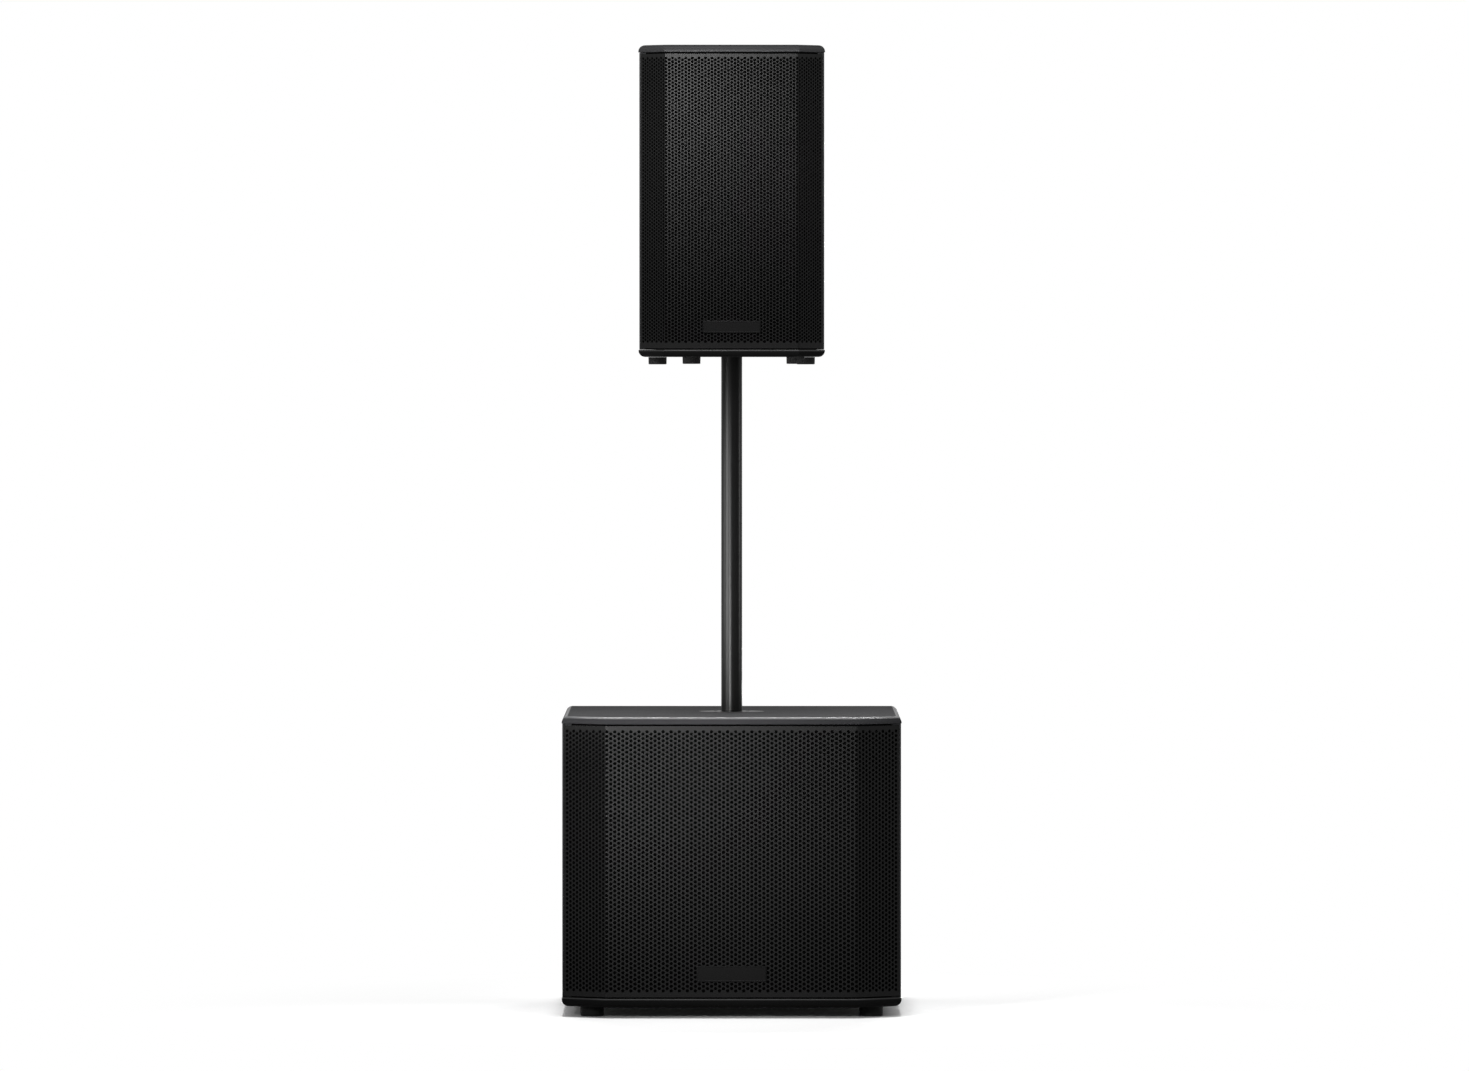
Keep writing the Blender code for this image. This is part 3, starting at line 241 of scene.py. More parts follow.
# Lamps: place, aim, width, height, spread in degrees and power in watts
SOFTBOXES = {
    "upper_key": ((-0.2, -1.075, 1.63), (0, -0.12, 1.47), 0.2, 0.2, 60, 2.9),
    "sub_key": ((-0.55, -1.69, 0.48), (0, -0.29, 0.44), 0.25, 0.25, 40, 2.9),
    "pole_left": ((-0.63, -0.48, 0.76), (0, 0.015, 0.76), 0.50, 0.46, 36, 2.0),
    "pole_front": ((-0.31, -0.74, 0.74), (0, 0.015, 0.74), 0.34, 0.40, 36, 0.80),
    "pole_side": ((-0.80, -0.03, 0.76), (0, 0.015, 0.76), 0.60, 0.36, 36, 0.5),
    "pole_right": ((0.80, 0.12, 0.78), (0, 0.015, 0.78), 0.15, 0.45, 36, 0.15),
    "sub_rim": ((0, 0.45, 1.36), (0, -0.28, 0.495), 1.2, 0.1, 60, 2.2),
    "sub_back": ((0.5, 2.0, 0.30), (0, 0.29, 0.25), 0.5, 0.2, 40, 2.2),
    "upper_back": ((0.4, 1.9, 1.38), (0, 0.17, 1.38), 0.3, 0.3, 26, 0.9),
}

# Fineness of round pieces
FULL_TURN = 2 * math.pi
ROUND_STEPS = 64
CORE_STEPS = 32
MARK_STEPS = 24
SMALL_STEPS = 20
PIN_STEPS = 16
QUARTER_STEPS = 4
WEDGE_STEPS = 6
ROLL_STEPS = 16


class Wire:
    """A shader value that can be used in Python sums."""

    def __init__(self, finish, socket):
        self.finish = finish
        self.socket = socket

    def sum(self, operation, first, second):
        return self.finish.node("ShaderNodeMath", {"operation": operation}, {0: first, 1: second})

    def __add__(self, other):
        return self.sum("ADD", self, other)

    def __radd__(self, other):
        return self.sum("ADD", other, self)

    def __sub__(self, other):
        return self.sum("SUBTRACT", self, other)

    def __rsub__(self, other):
        return self.sum("SUBTRACT", other, self)

    def __mul__(self, other):
        return self.sum("MULTIPLY", self, other)

    def __rmul__(self, other):
        return self.sum("MULTIPLY", other, self)


class Graph:
    """The nodes of a material or of the world."""

    def __init__(self, tree):
        self.tree = tree

    def node(self, kind, settings=None, inputs=None, output=0):
        node = self.tree.nodes.new(kind)
        for name, value in (settings or {}).items():
            setattr(node, name, value)
        for key, value in (inputs or {}).items():
            self.feed(node.inputs[key], value)
        return Wire(self, node.outputs[output])

    def feed(self, socket, value):
        if isinstance(value, Wire):
            self.tree.links.new(value.socket, socket)
        else:
            socket.default_value = value

    def seen(self):
        """1 for what the camera sees straight, in a mirror or through glass, and 0 for scattered light."""
        straight, mirrored, through = (self.node("ShaderNodeLightPath", output=f"Is {kind} Ray")
                                       for kind in ("Camera", "Glossy", "Transmission"))
        return straight.sum("MAXIMUM", straight.sum("MAXIMUM", straight, mirrored), through)


class Finish(Graph):
    """A procedural material: values that vary over the surface feed its Principled shader."""

    def __init__(self, name, constants):
        self.material = bpy.data.materials.new(name)
        self.material.use_nodes = True
        super().__init__(self.material.node_tree)
        self.surface = self.tree.nodes["Principled BSDF"]
        for socket, value in constants.items():
            self.surface.inputs[socket].default_value = value
        self.place = self.node("ShaderNodeTexCoord", output="Object")

    def height(self):
        """The height over the floor."""
        return self.node("ShaderNodeSeparateXYZ", None, {0: self.place}, output=2)

    def stretched(self, x, y, z):
        return self.node("ShaderNodeVectorMath", {"operation": "MULTIPLY"}, {0: self.place, 1: (x, y, z)})

    def noise(self, size, detail=2.0, place=None):
        """Cloudy values from 0 to 1 whose features are about that many metres across."""
        return self.node("ShaderNodeTexNoise", None,
                         {"Vector": place or self.place, "Scale": 1 / size, "Detail": detail})

    def pebbles(self, size):
        """Distance to the middle of the nearest rounded cell."""
        return self.node("ShaderNodeTexVoronoi", {"feature": "SMOOTH_F1"},
                         {"Vector": self.place, "Scale": 1 / size, "Smoothness": 0.6})

    def ramp(self, value, low, high):
        """Stretch the part of a value between low and high over 0 to 1."""
        return self.node("ShaderNodeMapRange", {"interpolation_type": "SMOOTHSTEP"},
                         {"Value": value, "From Min": low, "From Max": high})

    def band(self, value, low, high, fade):
        """1 where a value lies between low and high, fading outside them."""
        return self.ramp(value, low - fade, low) * (1 - self.ramp(value, high, high + fade))

    def mix(self, factor, first, second):
        """Blend two colours, each given as three numbers or as a Wire."""
        first, second = (each if isinstance(each, Wire) else (*each, 1) for each in (first, second))
        return self.node("ShaderNodeMix", {"data_type": "RGBA"}, {0: factor, 6: first, 7: second}, output=2)

    def paint(self, colour, roughness, height, depth):
        """Join colour, roughness and a bump of that depth in metres to the shader."""
        bump = self.node("ShaderNodeBump", None, {"Height": height, "Distance": depth, "Strength": 1.0})
        for socket, value in (("Base Color", colour), ("Roughness", roughness), ("Normal", bump)):
            self.feed(self.surface.inputs[socket], value)
        return self.material


def rubbed_edges(f, edges):
    """How far the paint is rubbed smooth, along bands just below the tops of some panels."""
    height = f.height()
    rubbed = 0
    for node, gloss, above, below in edges:
        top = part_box(node)[1].z
        rubbed = rubbed + gloss * f.band(height, top - below, top - above, RUB_FADE)
    return rubbed * (RUB_LEAST + RUB_VARIES * f.noise(RUB_PATCH))


def textured_paint():
    """Hard black cabinet paint with a rolled pebble texture, rubbed along the subwoofer's top."""
    f = Finish("textured_paint", {"Specular IOR Level": 0.06, "Coat Roughness": RUB_ROUGHNESS})
    pebble = f.pebbles(0.0022)
    cloud = f.noise(0.09)
    f.feed(f.surface.inputs["Coat Weight"], rubbed_edges(f, TOP_RUBBED))
    colour = f.mix(cloud, (0.013, 0.013, 0.014), (0.018, 0.018, 0.019))
    return f.paint(colour, 0.74 + 0.12 * cloud, 1 - pebble, depth=0.0003)


def smoother_paint():
    """The same black paint rolled out finer, on the upper cabinet, and left dull on its top."""
    f = Finish("smoother_paint", {"Specular IOR Level": 0.10})
    pebble = f.pebbles(0.0016)
    cloud = f.noise(0.09)
    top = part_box("upper_top_panel")[1].z
    dull = f.ramp(f.height(), top - DULL_BELOW, top - DULL_ABOVE)
    colour = f.mix(cloud, (0.015, 0.015, 0.016), (0.020, 0.020, 0.021))
    return f.paint(colour, 0.40 + 0.08 * cloud + DULLER * dull, 1 - pebble, depth=0.00008)


def shaded_matt_paint():
    """Dull black paint on the bottom panels, darker than the cabinet paint as painted shade, and rubbed along
    their top edges.
    """
    f = Finish("shaded_matt_paint", {"Specular IOR Level": 0.03, "Coat Roughness": RUB_ROUGHNESS})
    pebble = f.pebbles(0.0020)
    cloud = f.noise(0.09)
    f.feed(f.surface.inputs["Coat Weight"], rubbed_edges(f, FOOT_RUBBED))
    # The darker colour is painted shade on the bottom panels
    colour = f.mix(cloud, (0.004, 0.004, 0.004), (0.006, 0.006, 0.006))
    return f.paint(colour, 0.74 + 0.12 * cloud, 1 - pebble, depth=0.0002)


def badge_enamel():
    """Smooth black enamel on the name plates."""
    f = Finish("badge_enamel", {"Specular IOR Level": 0.05})
    ripple = f.noise(0.006)
    colour = f.mix(ripple, (0.003, 0.003, 0.003), (0.004, 0.004, 0.004))
    return f.paint(colour, 0.40 + 0.06 * ripple, ripple, depth=0.00003)


def coated_steel():
    """Black powder coat with a faint orange peel."""
    f = Finish("coated_steel", {"Specular IOR Level": 0.07})
    peel = f.noise(0.0016, detail=1.0)
    cloud = f.noise(0.12)
    colour = f.mix(cloud, (0.0045, 0.0045, 0.0045), (0.006, 0.006, 0.006))
    return f.paint(colour, 0.36 + 0.08 * cloud, peel, depth=0.00012)


def satin_tube():
    """Satin black paint on the pole, drawn out along its length."""
    f = Finish("satin_tube", {"Specular IOR Level": 0.05})
    drawn = f.noise(0.004, place=f.stretched(1, 1, 0.03))
    cloud = f.noise(0.05)
    colour = f.mix(cloud, (0.002, 0.002, 0.002), (0.003, 0.003, 0.003))
    return f.paint(colour, 0.28 + 0.03 * drawn, drawn, depth=0.000005)


def foam():
    """Open-cell foam, nearly black."""
    f = Finish("foam", {"Specular IOR Level": 0.0})
    pore = f.pebbles(0.0012)
    colour = f.mix(pore, (0.0004, 0.0004, 0.0004), (0.002, 0.002, 0.002))
    return f.paint(colour, 0.9 + 0.1 * pore, pore, depth=0.0006)


def rubber():
    """Matt moulded rubber."""
    f = Finish("rubber", {"Specular IOR Level": 0.10})
    grain = f.noise(0.0012)
    cloud = f.noise(0.02)
    colour = f.mix(cloud, (0.008, 0.008, 0.008), (0.014, 0.014, 0.014))
    return f.paint(colour, 0.62 + 0.15 * cloud, grain, depth=0.0001)


def plastic():
    """Moulded black plastic with a fine spark-eroded grain."""
    f = Finish("plastic", {"Specular IOR Level": 0.12})
    grain = f.noise(0.0007, detail=3.0)
    cloud = f.noise(0.03)
    colour = f.mix(cloud, (0.010, 0.010, 0.010), (0.015, 0.015, 0.015))
    return f.paint(colour, 0.42 + 0.12 * cloud, grain, depth=0.00006)


def plywood():
    """Bare birch plywood."""
    f = Finish("plywood", {"Specular IOR Level": 0.3})
    grain = f.noise(0.006, detail=4.0, place=f.stretched(0.05, 1, 1))
    colour = f.mix(grain, (0.42, 0.28, 0.15), (0.56, 0.40, 0.24))
    return f.paint(colour, 0.70 + 0.10 * grain, grain, depth=0.0002)


def cast_alloy():
    """Cast aluminium alloy, blasted."""
    f = Finish("cast_alloy", {"Metallic": 1.0})
    grain = f.noise(0.0015, detail=3.0)
    cloud = f.noise(0.03)
    colour = f.mix(cloud, (0.24, 0.24, 0.25), (0.34, 0.34, 0.35))
    return f.paint(colour, 0.45 + 0.2 * grain, grain, depth=0.00015)


def ferrite():
    """Ground ferrite magnet."""
    f = Finish("ferrite", {"Specular IOR Level": 0.5})
    grain = f.noise(0.001, detail=3.0)
    colour = f.mix(grain, (0.035, 0.035, 0.037), (0.065, 0.065, 0.067))
    return f.paint(colour, 0.55 + 0.2 * grain, grain, depth=0.00008)


def plated_steel():
    """Zinc plated steel."""
    f = Finish("plated_steel", {"Metallic": 1.0})
    spangle = f.noise(0.004)
    colour = f.mix(spangle, (0.48, 0.48, 0.46), (0.62, 0.61, 0.57))
    return f.paint(colour, 0.28 + 0.16 * spangle, spangle, depth=0.00005)


def paper():
    """Pressed paper cone."""
    f = Finish("paper", {"Specular IOR Level": 0.3})
    fibre = f.noise(0.0014, detail=5.0)
    colour = f.mix(fibre, (0.012, 0.012, 0.012), (0.032, 0.031, 0.030))
    return f.paint(colour, 0.75 + 0.2 * fibre, fibre, depth=0.0002)


def circuit():
    """Solder resist over copper tracks."""
    f = Finish("circuit", {"Specular IOR Level": 0.5})
    track = f.ramp(f.noise(0.006, detail=0.0), 0.48, 0.52)
    colour = f.mix(track, (0.008, 0.060, 0.022), (0.016, 0.110, 0.042))
    return f.paint(colour, 0.35 + 0.1 * track, track, depth=0.00006)


def marking():
    """Pale printed marks, slightly worn."""
    f = Finish("marking", {"Specular IOR Level": 0.4})
    wear = f.noise(0.0008, detail=3.0)
    colour = f.mix(wear, (0.55, 0.55, 0.54), (0.75, 0.75, 0.73))
    return f.paint(colour, 0.55 + 0.15 * wear, wear, depth=0.00002)


def lens():
    """The milky lens of an unlit indicator."""
    f = Finish("lens", {"Transmission Weight": 0.3, "IOR": 1.5})
    cloud = f.noise(0.002)
    colour = f.mix(cloud, (0.30, 0.34, 0.30), (0.42, 0.46, 0.42))
    return f.paint(colour, 0.18 + 0.1 * cloud, cloud, depth=0.00002)


MARKING = marking()
LENS = lens()
FINISHES = {make.__name__: make() for make in (
    textured_paint, coated_steel, satin_tube, foam, rubber, plastic,
    plywood, cast_alloy, ferrite, plated_steel, paper, circuit)}
BADGE_ENAMEL = badge_enamel()
SHADED_MATT_PAINT = shaded_matt_paint()
# The bottom panels take the darker paint as painted shade
PANEL_PAINT = {"sub_bottom_panel": SHADED_MATT_PAINT, "upper_bottom_panel": SHADED_MATT_PAINT}
UPPER_PAINT = smoother_paint()


def moved(x, y, z):
    return Matrix.Translation((x, y, z))


def rolled(angle, axis="Z"):
    return Matrix.Rotation(angle, 4, axis)


def facing_front(x, y, z):
    """A place whose Z axis points out of a front and whose Y axis points up."""
    return moved(x, y, z) @ rolled(math.pi / 2, "X")


def facing_back(x, y, z):
    """A place whose Z axis points out of the back and whose Y axis points up."""
    return moved(x, y, z) @ rolled(math.pi) @ rolled(math.pi / 2, "X")


def on_surface(node, start, direction):
    """The place where a ray from outside meets a node, whose Z axis points out of the surface."""
    at, normal = nodes[node].ray_cast(Vector(start), Vector(direction))[1:3]
    return Matrix.Translation(at) @ normal.to_track_quat("Z", "Y").to_matrix().to_4x4()


def made(name, bm, finish):
    """The mesh of a bmesh, with its material."""
    mesh = bpy.data.meshes.new(name)
    bm.to_mesh(mesh)
    bm.free()
    mesh.materials.append(finish)
    return mesh


def put(name, data):
    """Put an object with that data in the scene."""
    shown = bpy.data.objects.new(name, data)
    bpy.context.scene.collection.objects.link(shown)
    return shown


def add(name, bm, body, slot, *stands_for, finish=None):
    """Show a bmesh as a piece that rides on a body, in place of the CAD nodes it stands for.

    A piece without a body is left unattached, and one without a finish has its slot's.
    """
    mesh = made(name, bm, finish or FINISHES[slot])
    mesh.shade_smooth()
    mesh.set_sharp_from_angle(angle=SMOOTH_ANGLE)
    shown = put(name, mesh)
    if body:
        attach(shown, body)
    if stands_for:
        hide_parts(*stands_for)
    return shown


def dress(node, slot, edge):
    """Give a CAD node its material and soften its edges."""
    shown = nodes[node]
    shown.data.materials.clear()
    finish = FINISHES[slot]
    if slot == "textured_paint":
        finish = PANEL_PAINT.get(node, UPPER_PAINT if node.startswith("upper") else finish)
    shown.data.materials.append(finish)
    shown.data.shade_smooth()
    weld = shown.modifiers.new("weld", "WELD")
    weld.merge_threshold = SAME_POINT
    bevel = shown.modifiers.new("soft_edges", "BEVEL")
    bevel.limit_method = "ANGLE"
    bevel.angle_limit = SMOOTH_ANGLE
    bevel.width = edge
    bevel.segments = EDGE_STEPS
    bevel.use_clamp_overlap = True
    normals = shown.modifiers.new("flat_faces", "WEIGHTED_NORMAL")
    normals.keep_sharp = True


def turned(bm, profile, place, steps=ROUND_STEPS, turn=FULL_TURN):
    """Spin a (radius, height) profile round the Z axis of a place."""
    rim = [bm.verts.new(place @ Vector((radius, 0, height))) for radius, height in profile]
    edges = [bm.edges.new(pair) for pair in zip(rim, rim[1:])]
    bmesh.ops.spin(bm, geom=rim + edges, cent=place.translation, axis=place.to_3x3() @ Vector((0, 0, 1)),
                   angle=turn, steps=steps, use_merge=turn == FULL_TURN)
    bmesh.ops.remove_doubles(bm, verts=bm.verts, dist=SAME_POINT)
    bmesh.ops.recalc_face_normals(bm, faces=bm.faces)


def rounded(radius, height, size):
    """The points of a quarter round that turns a profile from its side into its top."""
    turns = [math.pi / 2 * step / QUARTER_STEPS for step in range(QUARTER_STEPS + 1)]
    return [(radius - size + size * math.cos(turn), height - size + size * math.sin(turn)) for turn in turns]


def hoop(inside, outside, height):
    """The profile of a plain ring."""
    return [(inside, 0), (outside, 0), (outside, height), (inside, height), (inside, 0)]


def block(bm, place, width, depth, height, soften):
    """A box with softened edges, standing on the XY plane of a place."""
    size = moved(0, 0, height / 2) @ Matrix.Diagonal((width, depth, height, 1))
    corners = bmesh.ops.create_cube(bm, size=1, matrix=place @ size)["verts"]
    edges = list({edge for corner in corners for edge in corner.link_edges})
    bmesh.ops.bevel(bm, geom=edges, offset=soften, offset_type="OFFSET", affect="EDGES",
                    segments=EDGE_STEPS, profile=0.5, material=-1, clamp_overlap=True)


def screw(bm, place, radius):
    """A countersunk screw that ends flush with its place, with a driver socket in its head."""
    socket = SCREW_SOCKET * radius
    floor = -SCREW_DEPTH * radius
    turned(bm, [(0, -radius), (socket, -radius), (radius, -SCREW_RIM), (radius - SCREW_RIM, SCREW_RIM),
                (socket, SCREW_RIM), (SCREW_TAPER * socket, floor), (0, floor)], place, SMALL_STEPS)


def front_runs(cabinet, half_width, setback):
    """The (length, turn) runs of half a sheet that lies that far behind a cabinet's faceted front."""
    run, back = FACETS[cabinet]
    turn = math.atan2(back, run)
    tangent = math.tan(turn / 2)
    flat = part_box(f"{cabinet}_top_panel")[1].x - run - setback * tangent
    wing = (half_width - flat) / math.cos(turn)
    return [(flat - BEND_RADIUS * tangent, 0.0), (BEND_RADIUS * turn, turn),
            (wing - BEND_RADIUS * tangent, 0.0)]


def flat_length(runs):
    return sum(length for length, turn in runs)


def along(distance, runs):
    """Plan place, from its middle, of a strip made of (length, turn) runs, this far along it."""
    x = y = heading = 0.0
    for length, turn in runs:
        step = min(distance, length)
        arc = turn * step / length
        chord = step * (math.sin(arc / 2) / (arc / 2) if arc else 1)
        x += chord * math.cos(heading + arc / 2)
        y += chord * math.sin(heading + arc / 2)
        heading += arc
        distance -= step
    return x, y


def bend(bm, runs, low, high, thickness):
    """Fold a flat sheet, drawn in XY about its middle, round its runs, and stand it up in its box."""
    start, arc = runs[0][0], runs[1][0]
    for step in range(BEND_STEPS + 1):
        for side in (-1, 1):
            line = side * (start + arc * step / BEND_STEPS)
            bmesh.ops.bisect_plane(bm, geom=bm.verts[:] + bm.edges[:] + bm.faces[:], dist=SAME_PLANE,
                                   plane_co=(line, 0, 0), plane_no=(1, 0, 0))
    middle = (low.z + high.z) / 2
    for vert in bm.verts:
        x, y = along(abs(vert.co.x), runs)
        vert.co = Vector((math.copysign(x, vert.co.x), low.y + y, middle + vert.co.y))
    bmesh.ops.recalc_face_normals(bm, faces=bm.faces)
    if sum(face.normal.y * face.calc_area() for face in bm.faces) > 0:
        bmesh.ops.reverse_faces(bm, faces=bm.faces)
    bmesh.ops.solidify(bm, geom=bm.faces[:], thickness=thickness)


def ring(bm, hole_mark, x, y, cell, hole, stretch):
    """One cell of a perforated sheet: a six-sided ring round its hole."""
    place = moved(x, y, 0) @ Matrix.Diagonal((stretch, 1, 1, 1)) @ rolled(math.pi / HOLE_SIDES)
    outside, inside = (bmesh.ops.create_circle(bm, segments=HOLE_SIDES, radius=radius, matrix=place)["verts"]
                       for radius in (cell, hole))
    for vert in inside:
        vert[hole_mark] = 1
    bmesh.ops.bridge_loops(bm, edges=list({edge for vert in outside + inside for edge in vert.link_edges}))


def perforated(width, height, pitch, columns, hole, rows, head, side):
    """A flat sheet of staggered holes with a plain border, drawn in XY about its middle."""
    bm = bmesh.new()
    hole_mark = bm.verts.layers.int.new("hole")
    cell = pitch / math.sqrt(3)
    stretch = columns / (1.5 * cell)
    pairs = int((width / 2 - side - cell * stretch) / columns)
    left = -pairs * columns
    low = height / 2 - head - (rows - 0.5) * pitch
    top = low + (rows - 1) * pitch

    def column(x, first, count):
        """Cells in a column, from that many pitches over the lowest row."""
        for row in range(count):
            ring(bm, hole_mark, x, low + (row + first) * pitch, cell, hole, stretch)

    column(left, 0, rows)
    column(left + columns, 0.5, rows - 1)
    bmesh.ops.spin(bm, geom=bm.verts[:] + bm.edges[:] + bm.faces[:], axis=(0, 0, 1), cent=(0, 0, 0),
                   dvec=(2 * columns, 0, 0), angle=0, steps=pairs - 1, use_duplicate=True)
    column(-left, 0, rows)
    bmesh.ops.remove_doubles(bm, verts=bm.verts, dist=SAME_CORNER)
    outline = [edge for edge in bm.edges if edge.is_boundary and not edge.verts[0][hole_mark]]
    for piece in bmesh.ops.extrude_edge_only(bm, edges=outline)["geom"]:
        if isinstance(piece, bmesh.types.BMVert):
            x, y = piece.co.xy
            if abs(x) > -left:
                piece.co.x = math.copysign(width / 2, x)
            if y > top - BORDER_REACH or y < low + BORDER_REACH:
                piece.co.y = math.copysign(height / 2, y)
    bmesh.ops.remove_doubles(bm, verts=bm.verts, dist=SAME_CORNER)
    return bm


def grille(cabinet):
    """The bent perforated sheet over a cabinet's front."""
    name = f"{cabinet}_grille"
    low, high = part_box(name)
    runs = front_runs(cabinet, high.x, GRILLE_SETBACK)
    bm = perforated(2 * flat_length(runs), high.z - low.z, **HOLES[cabinet])
    bend(bm, runs, low, high, SHEET)
    add(name + "_sheet", bm, cabinet, "coated_steel", name)


def foam_sheet(cabinet):
    """The thin soft sheet behind a grille."""
    name = f"{cabinet}_grille_foam"
    low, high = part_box(name)
    setback = GRILLE_SETBACK + low.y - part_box(f"{cabinet}_grille")[0].y
    runs = front_runs(cabinet, high.x, setback)
    size = Matrix.Diagonal((2 * flat_length(runs), high.z - low.z, 1, 1))
    across, up = FOAM_GRID
    bm = bmesh.new()
    bmesh.ops.create_grid(bm, x_segments=across, y_segments=up, size=0.5, matrix=size)
    bend(bm, runs, low, high, FOAM_SHEET)
    shown = add(name + "_sheet", bm, cabinet, "foam", name)


def edge_shade_strip(cabinet):
    """Dark strips on the front edges of a cabinet's sides, behind the sheet: painted shade, a dark sheet put where
    those edges lie in shade.
    """
    low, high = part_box(f"{cabinet}_grille")
    runs = front_runs(cabinet, high.x, GRILLE_SETBACK + SHEET + SHADE_STRIP_GAP)
    turn = runs[1][1]
    width = (high.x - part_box(f"{cabinet}_grille_foam")[1].x) / math.cos(turn)
    x, y = along(flat_length(runs) - SHADE_STRIP_GAP - width / 2, runs)
    bm = bmesh.new()
    for side in (-1, 1):
        place = moved(side * x, low.y + SHEET + SHADE_STRIP_GAP + y, low.z) @ rolled(side * turn)
        block(bm, place, width, SHADE_STRIP, high.z - low.z, SHADE_STRIP / 4)
    # Foam-black strips that stand in for the shade behind the grille's outer edges
    add(f"{cabinet}_edge_shade_strip", bm, cabinet, "rubber", finish=FINISHES["foam"])


def rubber_foot(node, body):
    """A tapered foot with a soft lower edge, a washer recess and its screw."""
    low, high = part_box(node)
    radius = (high.x - low.x) / 2
    height = high.z - low.z
    place = moved((low.x + high.x) / 2, (low.y + high.y) / 2, low.z)
    bore = FOOT_BORE * radius
    edge = [(r, FOOT_EDGE - h) for r, h in rounded(radius - FOOT_TAPER, FOOT_EDGE, FOOT_EDGE)]
    bm = bmesh.new()
    turned(bm, [(0, FOOT_RECESS), (bore, FOOT_RECESS), (bore, 0), *reversed(edge),
                (radius, height - FOOT_COLLAR), (radius, height), (0, height)], place)
    add(node + "_moulding", bm, body, "rubber", node)
    bm = bmesh.new()
    screw(bm, place @ moved(0, 0, FOOT_RECESS) @ rolled(math.pi, "X"), FOOT_SCREW * bore)
    add(node + "_screw", bm, body, "plated_steel")


def pole():
    """The painted tube, chamfered at its ends."""
    low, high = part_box("pole_tube")
    radius = (high.x - low.x) / 2
    place = moved((low.x + high.x) / 2, (low.y + high.y) / 2, low.z)
    length = high.z - low.z
    bore = radius - POLE_WALL
    bm = bmesh.new()
    turned(bm, [(bore, 0), (radius - POLE_CHAMFER, 0), (radius, POLE_CHAMFER), (radius, length - POLE_CHAMFER),
                (radius - POLE_CHAMFER, length), (bore, length), (bore, 0)], place)
    add("pole_drawn_tube", bm, "pole", "satin_tube", "pole_tube")


def pole_cup(node, body, mouth_up):
    """The flanged cup that takes the pole, with a lead-in at its mouth and four screws."""
    low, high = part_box(node)
    tube_low, tube_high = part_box("pole_tube")
    bore = (tube_high.x - tube_low.x) / 2 + POLE_FIT
    flange = (high.x - low.x) / 2
    depth = high.z - low.z
    sleeve = bore + CUP_WALL
    middle = (low + high) / 2
    place = moved(middle.x, middle.y, high.z if mouth_up else low.z)
    if not mouth_up:
        place = place @ rolled(math.pi, "X")
    bm = bmesh.new()
    turned(bm, [(bore, -CUP_LEAD_IN), (bore + CUP_LEAD_IN, 0), *reversed(rounded(flange, 0, CUP_RIM)),
                (flange, -CUP_FLANGE), (sleeve, -CUP_FLANGE), (sleeve, -depth), (0, -depth),
                (0, CUP_WALL - depth), (bore, CUP_WALL - depth), (bore, -CUP_LEAD_IN)], place)
    add(node + "_moulding", bm, body, "plastic", node)
    bm = bmesh.new()
    for quarter in range(4):
        turn = rolled(math.pi / 4 + quarter * math.pi / 2)
        screw(bm, place @ turn @ moved((flange + sleeve) / 2, 0, 0), CUP_SCREW)
    add(node + "_screws", bm, body, "coated_steel")


def badge(node, body):
    """A blank name plate with a raised rim."""
    low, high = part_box(node)
    middle = (low + high) / 2
    depth = high.y - low.y
    bm = bmesh.new()

    def face():
        return max(bm.faces, key=lambda each: each.calc_center_median().z)

    size = moved(0, 0, depth / 2) @ Matrix.Diagonal((high.x - low.x, high.z - low.z, depth, 1))
    bmesh.ops.create_cube(bm, size=1, matrix=size)
    upright = [edge for edge in bm.edges if edge.verts[0].co.xy == edge.verts[1].co.xy]
    bmesh.ops.bevel(bm, geom=upright, offset=BADGE_CORNER, affect="EDGES",
                    segments=BADGE_CORNER_STEPS, profile=0.5, material=-1)
    bmesh.ops.bevel(bm, geom=face().edges[:], offset=BADGE_EDGE, affect="EDGES",
                    segments=EDGE_STEPS, profile=0.5, material=-1)
    plate = face()
    bmesh.ops.inset_region(bm, faces=[plate], thickness=BADGE_RIM)
    bmesh.ops.inset_region(bm, faces=[plate], thickness=BADGE_EDGE, depth=-BADGE_EDGE)
    bmesh.ops.transform(bm, matrix=facing_front(middle.x, high.y, middle.z), verts=bm.verts)
    add(node + "_plate", bm, body, "coated_steel", node, finish=BADGE_ENAMEL)


def level_knob(node, body, plate):
    """A ribbed knob with a skirt and a pointer, and the scale round it on its plate."""
    low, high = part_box(node)
    middle = (low + high) / 2
    radius = (high.x - low.x) / 2
    grip = radius - KNOB_GRIP_INSET
    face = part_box(plate)[0].y + TRAY_SHEET
    stand = high.y - face
    place = facing_back(middle.x, face, middle.z)
    bm = bmesh.new()
    turned(bm, [(0, KNOB_CLEARANCE), (radius, KNOB_CLEARANCE), *rounded(radius, KNOB_SKIRT, KNOB_SKIRT_EDGE),
                (grip, KNOB_GRIP_FOOT), *rounded(grip - KNOB_GRIP_TAPER, stand, KNOB_TOP_EDGE), (0, stand)], place)
    for rib in range(KNOB_RIBS):
        turn = rolled(FULL_TURN * rib / KNOB_RIBS)
        block(bm, place @ turn @ moved(grip - RIB_SINK, 0, KNOB_GRIP_FOOT), RIB_WIDTH, RIB_DEPTH,
              stand - RIB_SHORT, RIB_EDGE)
    add(node + "_grip", bm, body, "plastic", node)
    bm = bmesh.new()
    block(bm, place @ moved(0, POINTER_MIDDLE * grip, stand - POINTER_SINK), POINTER_WIDTH,
          POINTER_LENGTH * grip, POINTER_HEIGHT, POINTER_EDGE)
    add(node + "_pointer", bm, body, "plastic", finish=MARKING)
    bm = bmesh.new()
    for tick in range(SCALE_TICKS):
        turn = rolled(SCALE_SWEEP * (tick / (SCALE_TICKS - 1) - 0.5))
        block(bm, place @ turn @ moved(0, radius + SCALE_GAP, 0), *SCALE_TICK)
    add(node + "_scale", bm, plate.split("_")[0], "coated_steel", finish=MARKING)


